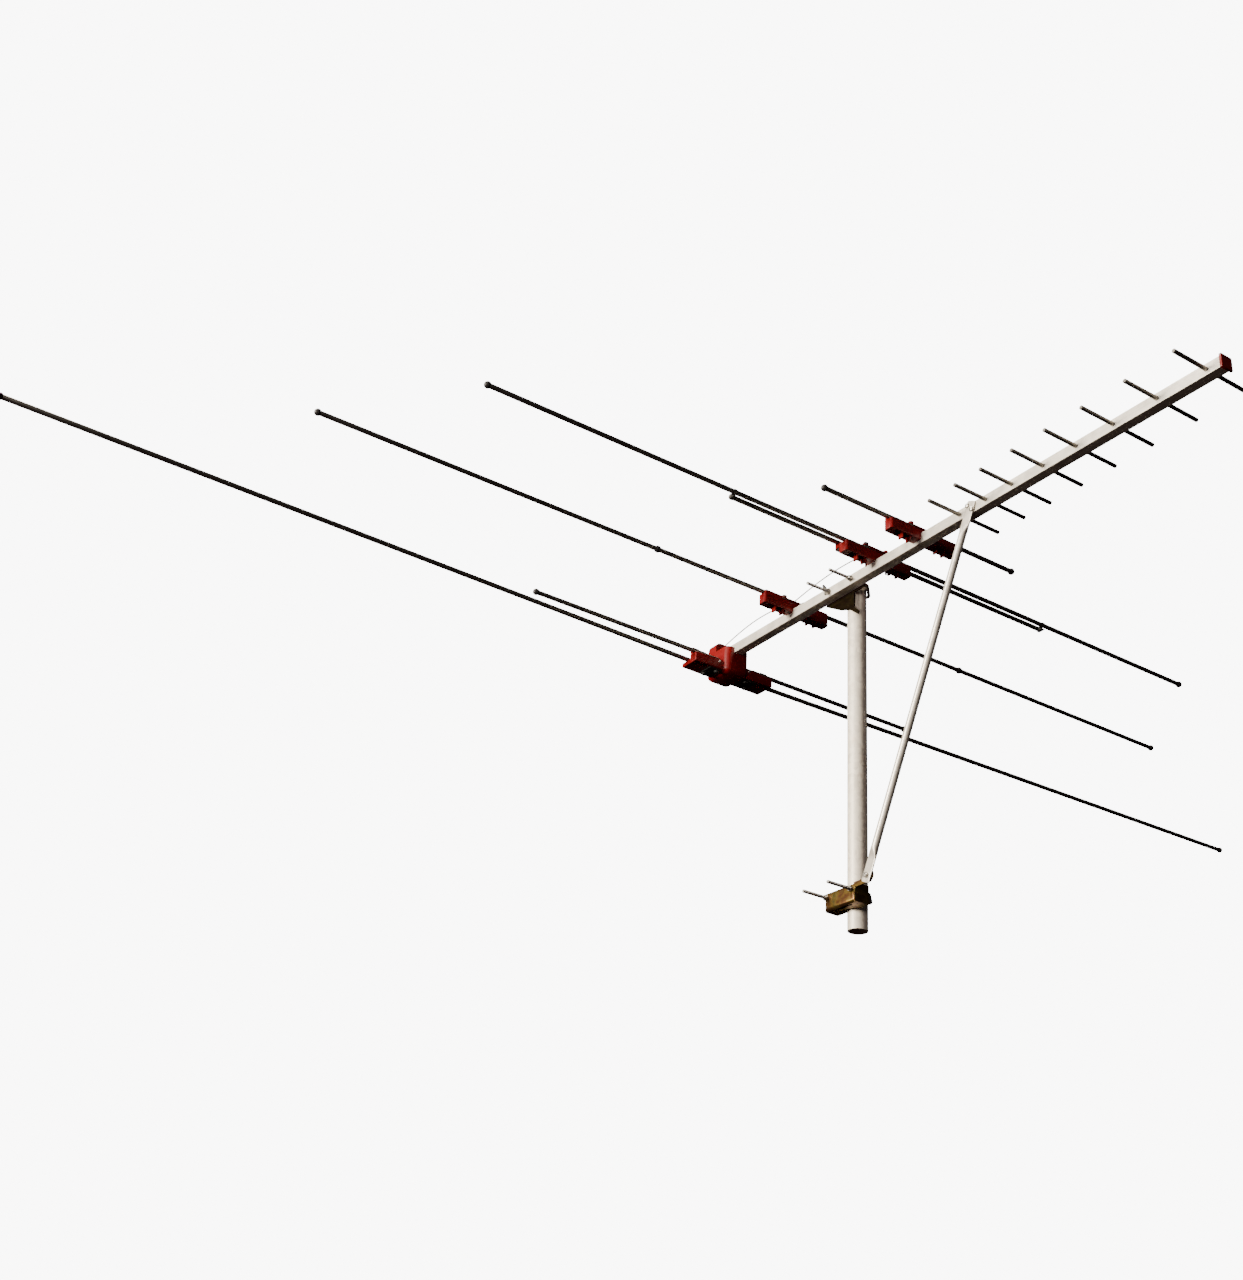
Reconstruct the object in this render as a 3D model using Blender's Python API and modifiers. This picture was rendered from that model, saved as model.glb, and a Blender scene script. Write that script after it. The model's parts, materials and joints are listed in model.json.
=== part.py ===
"""A folding VHF/UHF combination yagi antenna with its stub of mast.

Metres, +Z up. The origin is the centre of the mast's foot and the directors point to -Y.
"Left" is -X and "right" is +X. Heights named z are measured from the boom's centre line.
"""
import math
from collections import namedtuple

import bmesh
import bpy
from mathutils import Matrix, Vector

# clearance between pieces, overlap of solids that are joined, and how far a cutter runs past what it cuts
GAP = 0.0003
BITE = 0.001
PAST = 0.01

# mast, upright on the origin
MAST_DIAMETER = 0.035
MAST_WALL = 0.0018
MAST_SIDES = 48
BOOM_HEIGHT = 0.652
MAST_HEIGHT = BOOM_HEIGHT + 0.012

# boom, a square tube bolted to the left side of the mast
BOOM_SIDE = 0.020
BOOM_WALL = 0.0014
BOOM_X = -0.0305
BOOM_FRONT = -0.852
BOOM_REAR = 0.3835
BOOM_LEFT_FACE = BOOM_X - BOOM_SIDE / 2
BOOM_RIGHT_FACE = BOOM_X + BOOM_SIDE / 2
FRONT_CAP_OVERLAP = 0.0022
FRONT_CAP_THICKNESS = 0.005
FRONT_CAP_PLUG = 0.016

# directors, pushed through the boom at widening steps
DIRECTOR_DIAMETER = 0.007
DIRECTOR_HALF = 0.081
DIRECTOR_REAREST = -0.3127
DIRECTOR_STEPS = (0.0, 0.0616, 0.0593, 0.0695, 0.0710, 0.0760, 0.0856, 0.0917)

# rods, folding about upright pins
TAB_THICKNESS = 0.0025
TAB_WIDENING = 1.35
TAB_OVERHANG = 0.006
TAB_FLAT_END = 0.022
TAB_ROUND_START = 0.040
ROD_WALL = 0.0009
PIN_RADIUS = 0.0020
SEAT_GAP = 0.0005
CAP_RADIUS = 0.0063
CAP_CENTRE = 0.0040
CAP_PLUG = 0.012
COLLAR_RADIUS = 0.0068
COMPANION_OFFSET = 0.016
COMPANION_RISE = TAB_THICKNESS + GAP
STOPS = {-1: 0.318, 1: 0.428}
CLIP_SKIN = 0.0025
CLIP_GRIP = 0.006

Station = namedtuple("Station", "name y z pin_x reach diameter sweep_deg")
STATION_A = Station("a", 0.367, -0.0365, 0.050, 1.450, 0.0095, 1.1)
STATION_B = Station("b", 0.344, -0.0260, 0.036, 0.4545, 0.0090, 0.0)
STATION_C = Station("c", 0.148, 0.0280, 0.0235, 0.997, 0.0090, 0.0)
STATION_D = Station("d", -0.0875, 0.0325, 0.0235, 0.810, 0.0090, 0.0)
STATION_E = Station("e", -0.2066, 0.0220, 0.0235, 0.2184, 0.0090, 0.0)
STATIONS = (STATION_A, STATION_B, STATION_C, STATION_D, STATION_E)
SIDES = (("left", -1), ("right", 1))

# insulators that straddle the boom
WING_REACH = 0.078
WING_HEIGHT = 0.0205
WING_DEPTH = 0.0105
BOSS_RADIUS = 0.0062
POCKET_STARTS = (0.033, 0.050)
POCKET_WIDTH = 0.014
SKIN = 0.003
TOOTH_PLACES = (0.0315, 0.0485)
TOOTH_DEPTH = 0.009
WALL_START = 0.036
WALL_NEAR = 0.0066
WALL_THICKNESS = 0.0034
OUTRIGGER_START = 0.067
OUTRIGGER_HEIGHT = 0.008
STRAP_REACH = 0.033
STRAP_THICKNESS = 0.002
STRAP_HALF = 0.006
PIN_DEPTH = 0.004
KNOB_RADIUS = 0.005
KNOB_HEIGHT = 0.007

# rear insulator, with the boom's end in its socket
REAR_REACH = 0.094
REAR_BOTTOM = -0.050
REAR_FRONT_Y = 0.333
REAR_STEP_Y = 0.3525
REAR_BACK_Y = 0.380
HUMP_HALF = 0.027
HUMP_FRONT_Y = 0.322
HUMP_BACK_Y = 0.394
HUMP_TOP = 0.023
SHOULDER_Y = 0.361
SHOULDER_Z = 0.001
HUMP_BOTTOM = -0.0545
REAR_WALL_START = 0.058
REAR_WALL_THICKNESS = 0.0062
REAR_POCKET_STARTS = (0.061, 0.0785)
REAR_POCKET_WIDTH = 0.013
REAR_PLATE_MARGIN = 0.007
REAR_HEAD_HEIGHT = 0.0055
REAR_HEAD_RADIUS = 0.0052
FEEDER_RADIUS = 0.0012
FEEDER_REAR_Y = 0.376
FEEDER_STEPS = 16

# mast clamps
BOLT_RADIUS = 0.003
LEG_SPREAD = 0.0315
LEG_END_X = -0.093
LOWER_CLAMP_Z = 0.0565
SADDLE_LOW = 0.034
SADDLE_HIGH = 0.067
SADDLE_LEFT = -0.0405
SADDLE_RIGHT = -0.0100
SADDLE_HALF = 0.040
LUG_THICKNESS = 0.003
LUG_RADIUS = 0.011
NUT_THICKNESS = 0.0055
NUT_RADIUS = 0.0059
WING_NUT_LENGTH = 0.008
WING_NUT_RADIUS = 0.0058

# brace from the boom down to the lower clamp
BRACE_RADIUS = 0.0065
BRACE_TOP = (-0.3395, BOOM_HEIGHT)
BRACE_FOOT = (-0.0730, 0.069)
BRACE_OVERHANG = 0.012
BRACE_FLAT = 0.003
BRACE_WIDENING = 1.5
BRACE_FLAT_END = 0.026
BRACE_ROUND_START = 0.050
BRACE_SCREW_OFFSET = (0.0045, 0.0055)
SCREW_SHANK = 0.0023
SCREW_HEAD_RADIUS = 0.0042
SCREW_HEAD_HEIGHT = 0.0028
FOOT_SHANK = 0.0028
FOOT_NUT_THICKNESS = 0.0042
BRACE_X = BOOM_LEFT_FACE - GAP - BRACE_FLAT / 2

RED = ((0.42, 0.012, 0.014), 0.42, 0.0)
BLACK = ((0.012, 0.012, 0.013), 0.5, 0.0)
ALUMINIUM = ((0.74, 0.74, 0.73), 0.36, 1.0)
GALVANISED = ((0.55, 0.56, 0.56), 0.5, 1.0)
ZINC = ((0.62, 0.60, 0.55), 0.35, 1.0)
YELLOW_ZINC = ((0.58, 0.44, 0.17), 0.4, 1.0)

parts = bpy.data.collections.new("yagi_antenna")
helpers = bpy.data.collections.new("construction")


def clear_scene():
    for obj in list(bpy.data.objects):
        bpy.data.objects.remove(obj, do_unlink=True)
    bpy.context.scene.collection.children.link(parts)
    bpy.context.scene.collection.children.link(helpers)


def make_finish(name, look):
    colour, roughness, metallic = look
    material = bpy.data.materials.new(name)
    material.use_nodes = True
    shader = material.node_tree.nodes["Principled BSDF"]
    shader.inputs["Base Color"].default_value = (*colour, 1.0)
    shader.inputs["Roughness"].default_value = roughness
    shader.inputs["Metallic"].default_value = metallic
    return material


def add_part(name, data, look, parent=None):
    """One visible piece of the antenna, with a finish of its own."""
    obj = bpy.data.objects.new(name, data)
    parts.objects.link(obj)
    obj.data.materials.clear()
    obj.data.materials.append(make_finish(name, look))
    obj.parent = parent
    return obj


def add_helper(name, data, parent=None):
    """A solid that only joins or cuts a piece."""
    obj = bpy.data.objects.new(name, data)
    helpers.objects.link(obj)
    obj.hide_render = True
    obj.display_type = "WIRE"
    obj.parent = parent
    return obj


def add_empty(name, place):
    obj = bpy.data.objects.new(name, None)
    parts.objects.link(obj)
    obj.location = place
    return obj


def finish_mesh(name, bm):
    mesh = bpy.data.meshes.new(name)
    bm.to_mesh(mesh)
    bm.free()
    mesh.shade_smooth()
    mesh.set_sharp_from_angle(angle=math.radians(35))
    return mesh


def box(name, low, high):
    low, high = Vector(low), Vector(high)
    bm = bmesh.new()
    place = Matrix.Translation((low + high) / 2) @ Matrix.Diagonal((*(high - low), 1.0))
    bmesh.ops.create_cube(bm, size=1.0, matrix=place)
    return finish_mesh(name, bm)


def gathered(name, meshes):
    """Several separate solids in one mesh."""
    bm = bmesh.new()
    for mesh in meshes:
        bm.from_mesh(mesh)
    return finish_mesh(name, bm)


def round_bar(name, start, end, radius, sides=16):
    """A solid cylinder between two points."""
    start, end = Vector(start), Vector(end)
    axis = end - start
    place = Matrix.Translation((start + end) / 2) @ axis.to_track_quat("Z", "Y").to_matrix().to_4x4()
    bm = bmesh.new()
    bmesh.ops.create_cone(
        bm, cap_ends=True, segments=sides, radius1=radius, radius2=radius, depth=axis.length, matrix=place
    )
    return finish_mesh(name, bm)


def plate(name, outline, thickness, holes=()):
    """A flat outline in the XY plane with round holes, made a mesh so that it can be cut."""
    curve = bpy.data.curves.new(name, "CURVE")
    curve.dimensions = "2D"
    curve.fill_mode = "BOTH"
    curve.extrude = thickness / 2
    rings = [list(outline)]
    for x, y, radius in holes:
        turns = [math.tau * k / 16 for k in range(16)]
        rings.append([(x + radius * math.cos(a), y + radius * math.sin(a)) for a in turns])
    for ring in rings:
        spline = curve.splines.new("POLY")
        spline.points.add(len(ring) - 1)
        for point, (x, y) in zip(spline.points, ring):
            point.co = (x, y, 0.0, 1.0)
        spline.use_cyclic_u = True
    return mesh_from_curve(name, curve)


def tube_curve(name, points, radius, resolution=2):
    """A wire or bent bar along a list of points, with closed ends."""
    curve = bpy.data.curves.new(name, "CURVE")
    curve.dimensions = "3D"
    curve.bevel_depth = radius
    curve.bevel_resolution = resolution
    curve.use_fill_caps = True
    spline = curve.splines.new("POLY")
    spline.points.add(len(points) - 1)
    for point, place in zip(spline.points, points):
        point.co = (*place, 1.0)
    return curve


def add_wire(name, points, radius, look, parent, resolution=2):
    wire = add_part(name, tube_curve(name, points, radius, resolution), look, parent)
    wire.modifiers.new("closed ends", "WELD").merge_threshold = 0.00001


def mesh_from_curve(name, curve):
    holder = bpy.data.objects.new(name + "_curve", curve)
    helpers.objects.link(holder)
    shaped = holder.evaluated_get(bpy.context.evaluated_depsgraph_get())
    mesh = bpy.data.meshes.new_from_object(shaped)
    bpy.data.objects.remove(holder, do_unlink=True)
    bm = bmesh.new()
    bm.from_mesh(mesh)
    bmesh.ops.remove_doubles(bm, verts=bm.verts, dist=0.00001)
    bm.to_mesh(mesh)
    bm.free()
    mesh.name = name
    return mesh


def boolean(obj, operation, data, parent=None):
    tool = add_helper(f"{obj.name}_{operation.lower()}_{len(obj.modifiers)}", data, parent or obj.parent)
    step = obj.modifiers.new(tool.name, "BOOLEAN")
    step.operation = operation
    step.solver = "EXACT"
    step.object = tool
    return tool


def cut(obj, data):
    return boolean(obj, "DIFFERENCE", data)


def join(obj, data):
    return boolean(obj, "UNION", data)


def soften(obj, width, segments=2):
    step = obj.modifiers.new("rounded edges", "BEVEL")
    step.width = width
    step.segments = segments
    step.limit_method = "ANGLE"
    step.angle_limit = math.radians(50)


def turned(name, profile, look, parent, ring=False, sides=16):
    """A turned piece on its own Z axis, from (radius, height) points down its side or round its ring."""
    mesh = bpy.data.meshes.new(name)
    rows = [(radius, 0.0, height) for radius, height in profile]
    edges = [(k, k + 1) for k in range(len(rows) - 1)]
    if ring:
        edges.append((len(rows) - 1, 0))
    mesh.from_pydata(rows, edges, [])
    obj = add_part(name, mesh, look, parent)
    screw = obj.modifiers.new("turned", "SCREW")
    screw.axis = "Z"
    screw.steps = sides
    screw.render_steps = sides
    screw.use_merge_vertices = True
    screw.merge_threshold = 0.00001
    screw.use_smooth_shade = True
    return obj


def arc(radius, centre, start_deg, end_deg, steps):
    """Points of a circle on a turned profile, from the top angle down."""
    turns = [math.radians(start_deg + (end_deg - start_deg) * k / steps) for k in range(steps + 1)]
    return [(max(radius * math.cos(a), 0.0), centre + radius * math.sin(a)) for a in turns]


def near_boom(x, y, z):
    """A place given across and above the boom's centre line."""
    return Vector((BOOM_X + x, y, BOOM_HEIGHT + z))


# ---------------------------------------------------------------- mast and boom


def make_mast():
    tube = round_bar("mast", (0, 0, 0), (0, 0, MAST_HEIGHT), MAST_DIAMETER / 2, MAST_SIDES)
    mast = add_part("mast", tube, GALVANISED)
    inside = MAST_DIAMETER / 2 - MAST_WALL
    cut(mast, round_bar("bore", (0, 0, -PAST), (0, 0, MAST_HEIGHT + PAST), inside, MAST_SIDES))


def director_rows():
    y = DIRECTOR_REAREST
    rows = []
    for step in DIRECTOR_STEPS:
        y -= step
        rows.append(y)
    return rows


def brace_screw_rows():
    """The two screws at the brace's top, side by side across its flat end."""
    y, z = BRACE_TOP
    across, up = BRACE_SCREW_OFFSET
    return ((y + across, z + up), (y - across, z - up))


def make_boom(aim):
    half = BOOM_SIDE / 2
    low = near_boom(-half, BOOM_FRONT, -half)
    high = near_boom(half, BOOM_REAR, half)
    boom = add_part("boom", box("boom", low, high), ALUMINIUM, aim)
    soften(boom, 0.0010)
    inside = half - BOOM_WALL
    bore_low = near_boom(-inside, BOOM_FRONT - PAST, -inside)
    cut(boom, box("bore", bore_low, near_boom(inside, BOOM_REAR + PAST, inside)))
    rows = [(y, DIRECTOR_DIAMETER / 2 + GAP) for y in director_rows()]
    rows += [(y, BOLT_RADIUS + GAP) for y in (-LEG_SPREAD, LEG_SPREAD)]
    holes = []
    for y, radius in rows:
        holes.append(round_bar("hole", near_boom(-half - PAST, y, 0), near_boom(half + PAST, y, 0), radius))
    for y, z in brace_screw_rows():
        holes.append(round_bar("hole", (BOOM_LEFT_FACE - PAST, y, z), (BOOM_X, y, z), SCREW_SHANK + GAP, 12))
    cut(boom, gathered("holes", holes))


def make_directors(aim):
    for number, y in enumerate(director_rows(), start=1):
        name = f"director_{number}"
        start, end = near_boom(-DIRECTOR_HALF, y, 0), near_boom(DIRECTOR_HALF, y, 0)
        bar = round_bar(name, start, end, DIRECTOR_DIAMETER / 2)
        soften(add_part(name, bar, ALUMINIUM, aim), 0.0006, 1)


def make_front_cap(aim):
    rim = BOOM_SIDE / 2 + FRONT_CAP_OVERLAP
    back = BOOM_FRONT - GAP
    head = box("cap", near_boom(-rim, back - FRONT_CAP_THICKNESS, -rim), near_boom(rim, back, rim))
    cap = add_part("boom_front_cap", head, RED, aim)
    soften(cap, 0.0012)
    plug = BOOM_SIDE / 2 - BOOM_WALL - GAP
    plug_low = near_boom(-plug, back - FRONT_CAP_THICKNESS / 2, -plug)
    join(cap, box("plug", plug_low, near_boom(plug, back + FRONT_CAP_PLUG, plug)))


# ---------------------------------------------------------------- mast clamps and brace


def make_bracket(aim):
    """The plate between boom and mast, with a gusset that hangs below the boom."""
    outline = (
        (-0.043, 0.011), (-0.043, -0.013), (-0.015, -0.013), (-0.015, -0.042), (-0.029, -0.058),
        (-0.025, -0.063), (-0.003, -0.045), (0.022, -0.036), (0.063, -0.012), (0.063, 0.011),
    )
    left = BOOM_RIGHT_FACE + GAP
    right = -MAST_DIAMETER / 2 - GAP
    holes = [(y, 0.0, BOLT_RADIUS + GAP) for y in (-LEG_SPREAD, LEG_SPREAD)]
    bracket = add_part("mast_bracket", plate("mast_bracket", outline, right - left, holes), YELLOW_ZINC, aim)
    bracket.rotation_euler = (math.pi / 2, 0.0, math.pi / 2)
    bracket.location = ((left + right) / 2, 0.0, BOOM_HEIGHT)


def corner(before, at, after, radius, steps=4):
    """A rounded corner of a path, as points of an arc."""
    back = (Vector(before) - Vector(at)).normalized()
    on = (Vector(after) - Vector(at)).normalized()
    half = back.angle(on) / 2
    centre = Vector(at) + (back + on).normalized() * radius / math.sin(half)
    start = Vector(at) + back * radius / math.tan(half) - centre
    normal = on.cross(back).normalized()
    turn = math.pi - 2 * half
    return [centre + Matrix.Rotation(turn * k / steps, 3, normal) @ start for k in range(steps + 1)]


def make_v_bolt(name, z, aim):
    """A bar bent to a V round the mast's right side, with both legs out to the left."""
    apex = (MAST_DIAMETER / 2 + GAP + BOLT_RADIUS) * math.sqrt(2)
    bend_x = apex - LEG_SPREAD
    front = (LEG_END_X, -LEG_SPREAD, z)
    front_bend = (bend_x, -LEG_SPREAD, z)
    tip = (apex, 0.0, z)
    rear_bend = (bend_x, LEG_SPREAD, z)
    rear = (LEG_END_X, LEG_SPREAD, z)
    path = [Vector(front)]
    path += corner(front, front_bend, tip, 0.008)
    path += corner(front_bend, tip, rear_bend, 0.006)
    path += corner(tip, rear_bend, rear, 0.008)
    path.append(Vector(rear))
    add_wire(name, path, BOLT_RADIUS, ZINC, aim, 3)


def make_wing_nut(name, y, tilt_deg, aim):
    """A wing nut against the boom's left face, its wings tilted from level."""
    centre = Vector((BOOM_LEFT_FACE - GAP, y, BOOM_HEIGHT))
    outward = Vector((-WING_NUT_LENGTH, 0, 0))
    nut = add_part(name, round_bar(name, centre, centre + outward, WING_NUT_RADIUS), ZINC, aim)
    for turn_deg in (tilt_deg, tilt_deg + 180):
        wing = box("wing", (-0.014, -0.0125, -0.0014), (-0.003, -0.004, 0.0014))
        wing.transform(Matrix.Translation(centre) @ Matrix.Rotation(math.radians(turn_deg), 4, "X"))
        join(nut, wing)
    cut(nut, round_bar("bore", centre - outward, centre + 3 * outward, BOLT_RADIUS + GAP))


def make_clamp_nut(name, y, aim):
    start = Vector((SADDLE_LEFT - GAP, y, LOWER_CLAMP_Z))
    outward = Vector((-NUT_THICKNESS, 0, 0))
    nut = add_part(name, round_bar(name, start, start + outward, NUT_RADIUS, 6), ZINC, aim)
    cut(nut, round_bar("bore", start - outward, start + 3 * outward, BOLT_RADIUS + GAP))


def make_saddle(aim):
    """The block with a V face that the lower V-bolt pulls against the mast, with the brace's lug."""
    notch = (MAST_DIAMETER / 2 + GAP) * math.sqrt(2)
    mouth = notch + SADDLE_RIGHT
    outline = (
        (SADDLE_LEFT, -SADDLE_HALF), (SADDLE_RIGHT, -SADDLE_HALF), (SADDLE_RIGHT, -mouth), (-notch, 0.0),
        (SADDLE_RIGHT, mouth), (SADDLE_RIGHT, SADDLE_HALF), (SADDLE_LEFT, SADDLE_HALF),
    )
    block = plate("lower_saddle", outline, SADDLE_HIGH - SADDLE_LOW)
    saddle = add_part("lower_saddle", block, YELLOW_ZINC, aim)
    saddle.location = (0.0, 0.0, (SADDLE_HIGH + SADDLE_LOW) / 2)
    foot_y, foot_z = BRACE_FOOT
    right = SADDLE_LEFT + LUG_THICKNESS
    lug_low = (SADDLE_LEFT, foot_y - LUG_RADIUS / 2, foot_z - LUG_RADIUS)
    join(saddle, box("lug", lug_low, (right, LUG_THICKNESS - SADDLE_HALF, SADDLE_HIGH)))
    join(saddle, round_bar("lug_end", (SADDLE_LEFT, foot_y, foot_z), (right, foot_y, foot_z), LUG_RADIUS, 24))
    left = SADDLE_LEFT - PAST
    cut(saddle, round_bar("hole", (left, foot_y, foot_z), (right + PAST, foot_y, foot_z), FOOT_SHANK + GAP))
    for y in (-LEG_SPREAD, LEG_SPREAD):
        bolt_start, bolt_end = (left, y, LOWER_CLAMP_Z), (SADDLE_RIGHT + PAST, y, LOWER_CLAMP_Z)
        cut(saddle, round_bar("hole", bolt_start, bolt_end, BOLT_RADIUS + GAP))
    hollow_low = (SADDLE_LEFT + 0.006, -0.022, SADDLE_LOW - PAST)
    cut(saddle, box("hollow", hollow_low, (-0.030, 0.022, SADDLE_HIGH - 0.005)))


def smooth_step(t):
    t = min(max(t, 0.0), 1.0)
    return t * t * (3 - 2 * t)


def ring_cuts(bm, axis, places):
    """Extra rings round a bar, so that it can change section there."""
    for place in places:
        geometry = bm.verts[:] + bm.edges[:] + bm.faces[:]
        bmesh.ops.bisect_plane(bm, geom=geometry, plane_co=axis * place, plane_no=axis)


def make_brace(aim):
    """A tube with both ends pressed flat, standing on the lug's bolt and screwed to the boom's left face."""
    run_y = BRACE_TOP[0] - BRACE_FOOT[0]
    run_z = BRACE_TOP[1] - BRACE_FOOT[1]
    length = math.hypot(run_y, run_z)
    flat, full = BRACE_FLAT_END, BRACE_ROUND_START
    bm = bmesh.new()
    bmesh.ops.create_cone(
        bm, cap_ends=True, segments=24, radius1=BRACE_RADIUS, radius2=BRACE_RADIUS,
        depth=length + 2 * BRACE_OVERHANG, matrix=Matrix.Translation((0, 0, length / 2)),
    )
    stages = [flat + (full - flat) * k / 4 for k in range(5)]
    ring_cuts(bm, Vector((0, 0, 1)), stages + [length - stage for stage in stages])
    for vert in bm.verts:
        from_end = min(vert.co.z, length - vert.co.z)
        t = smooth_step((from_end - flat) / (full - flat))
        vert.co.x *= BRACE_FLAT / 2 / BRACE_RADIUS * (1 - t) + t
        vert.co.y *= BRACE_WIDENING * (1 - t) + t
    brace = add_part("brace", finish_mesh("brace", bm), ALUMINIUM, aim)
    brace.location = (BRACE_X, *BRACE_FOOT)
    brace.rotation_euler = (math.atan2(-run_y, run_z), 0.0, 0.0)
    for y, z in (*brace_screw_rows(), BRACE_FOOT):
        shank = FOOT_SHANK if (y, z) == BRACE_FOOT else SCREW_SHANK
        cut(brace, round_bar("hole", (BRACE_X - PAST, y, z), (BRACE_X + PAST, y, z), shank + GAP))


def make_brace_fixings(aim):
    outer = BRACE_X - BRACE_FLAT / 2 - GAP
    for place, (y, z) in zip(("upper", "lower"), brace_screw_rows()):
        name = f"brace_screw_{place}"
        head = round_bar(name, (outer - SCREW_HEAD_HEIGHT, y, z), (outer, y, z), SCREW_HEAD_RADIUS)
        screw = add_part(name, head, ZINC, aim)
        soften(screw, 0.0008, 1)
        join(screw, round_bar("shank", (outer - BITE, y, z), (BOOM_LEFT_FACE + 0.006, y, z), SCREW_SHANK, 12))
    y, z = BRACE_FOOT
    head = round_bar("bolt", (outer - FOOT_NUT_THICKNESS, y, z), (outer, y, z), NUT_RADIUS, 6)
    bolt = add_part("brace_foot_bolt", head, ZINC, aim)
    inner = SADDLE_LEFT + LUG_THICKNESS + GAP
    end = inner + FOOT_NUT_THICKNESS
    join(bolt, round_bar("shank", (outer - BITE, y, z), (end + 0.0025, y, z), FOOT_SHANK))
    join(bolt, round_bar("nut", (inner, y, z), (end, y, z), NUT_RADIUS, 6))


# ---------------------------------------------------------------- insulators


def seat_height(station):
    """The top of the block that a rod rests on."""
    return station.z - station.diameter / 2 - SEAT_GAP


def tab_bottom(station):
    return station.z - TAB_THICKNESS / 2 - GAP


def pin_place(station, side, z):
    return near_boom(side * station.pin_x, station.y, z)


def add_boss(insulator, station, side, bottom):
    start, end = pin_place(station, side, bottom), pin_place(station, side, tab_bottom(station))
    join(insulator, round_bar("boss", start, end, BOSS_RADIUS))


def cut_pin_hole(insulator, station, side):
    start, end = pin_place(station, side, HUMP_BOTTOM - PAST), pin_place(station, side, station.z + PAST)
    cut(insulator, round_bar("hole", start, end, PIN_RADIUS + GAP))


def span(side, near, far):
    """The lower and higher of two distances out from the boom, on one side of it."""
    return sorted((side * near, side * far))


def add_wall(insulator, station, side, start, end, facing, thickness, rise):
    """An upright wall beside a rod, away from its fold, that closes in on the rod's round part."""
    lean = (end - station.pin_x) * math.tan(math.radians(station.sweep_deg))
    touch = station.diameter / 2 + GAP
    for begin, near in ((start, WALL_NEAR), (station.pin_x + TAB_ROUND_START, touch)):
        inner, outer = span(side, begin, end)
        front, back = sorted((facing * (near + lean), facing * (WALL_NEAR + lean + thickness)))
        low = near_boom(inner, station.y + front, seat_height(station) - 0.002)
        high = near_boom(outer, station.y + back, station.z + rise)
        join(insulator, box("wall", low, high))


def add_outrigger(insulator, station, side):
    """An arm behind the end of a wing, with an upright ear that the companion rod rests against."""
    seat = seat_height(station)
    inner, outer = span(side, OUTRIGGER_START, WING_REACH)
    touch = station.y + COMPANION_OFFSET + station.diameter / 2 + GAP
    back = touch + WALL_THICKNESS
    arm_low = near_boom(inner, station.y + WING_DEPTH - SKIN, seat - OUTRIGGER_HEIGHT)
    join(insulator, box("arm", arm_low, near_boom(outer, back, seat)))
    ear_low = near_boom(inner, touch, seat - 0.002)
    join(insulator, box("ear", ear_low, near_boom(outer, back, station.z + 0.001)))


def make_insulator(station, wall_side, wall_rise, aim):
    """A moulding across the boom, cored out from below, with two wings, bosses, stops and teeth."""
    name = f"insulator_{station.name}"
    top = seat_height(station)
    bottom = top - WING_HEIGHT
    low = near_boom(-WING_REACH, station.y - WING_DEPTH, bottom)
    high = near_boom(WING_REACH, station.y + WING_DEPTH, top)
    insulator = add_part(name, box(name, low, high), RED, aim)
    soften(insulator, 0.0015)
    slot = BOOM_SIDE / 2 + GAP
    depth = WING_DEPTH + PAST
    slot_low = near_boom(-slot, station.y - depth, bottom - PAST)
    cut(insulator, box("slot", slot_low, near_boom(slot, station.y + depth, slot)))
    for _, side in SIDES:
        for start in POCKET_STARTS:
            inner, outer = span(side, start, start + POCKET_WIDTH)
            low = near_boom(inner, station.y - WING_DEPTH + SKIN, bottom - PAST)
            high = near_boom(outer, station.y + WING_DEPTH - SKIN, top - SKIN)
            cut(insulator, box("pocket", low, high))
        for place in TOOTH_PLACES:
            low = near_boom(side * place - SKIN / 2, station.y - 0.007, bottom - TOOTH_DEPTH)
            high = near_boom(side * place + SKIN / 2, station.y + 0.004, bottom + 0.004)
            join(insulator, box("tooth", low, high))
        add_boss(insulator, station, side, top - 0.002)
        if station is STATION_D:
            add_outrigger(insulator, station, side)
        else:
            end = WING_REACH - SKIN
            add_wall(insulator, station, side, WALL_START, end, wall_side, WALL_THICKNESS, wall_rise)
        cut_pin_hole(insulator, station, side)


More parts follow.
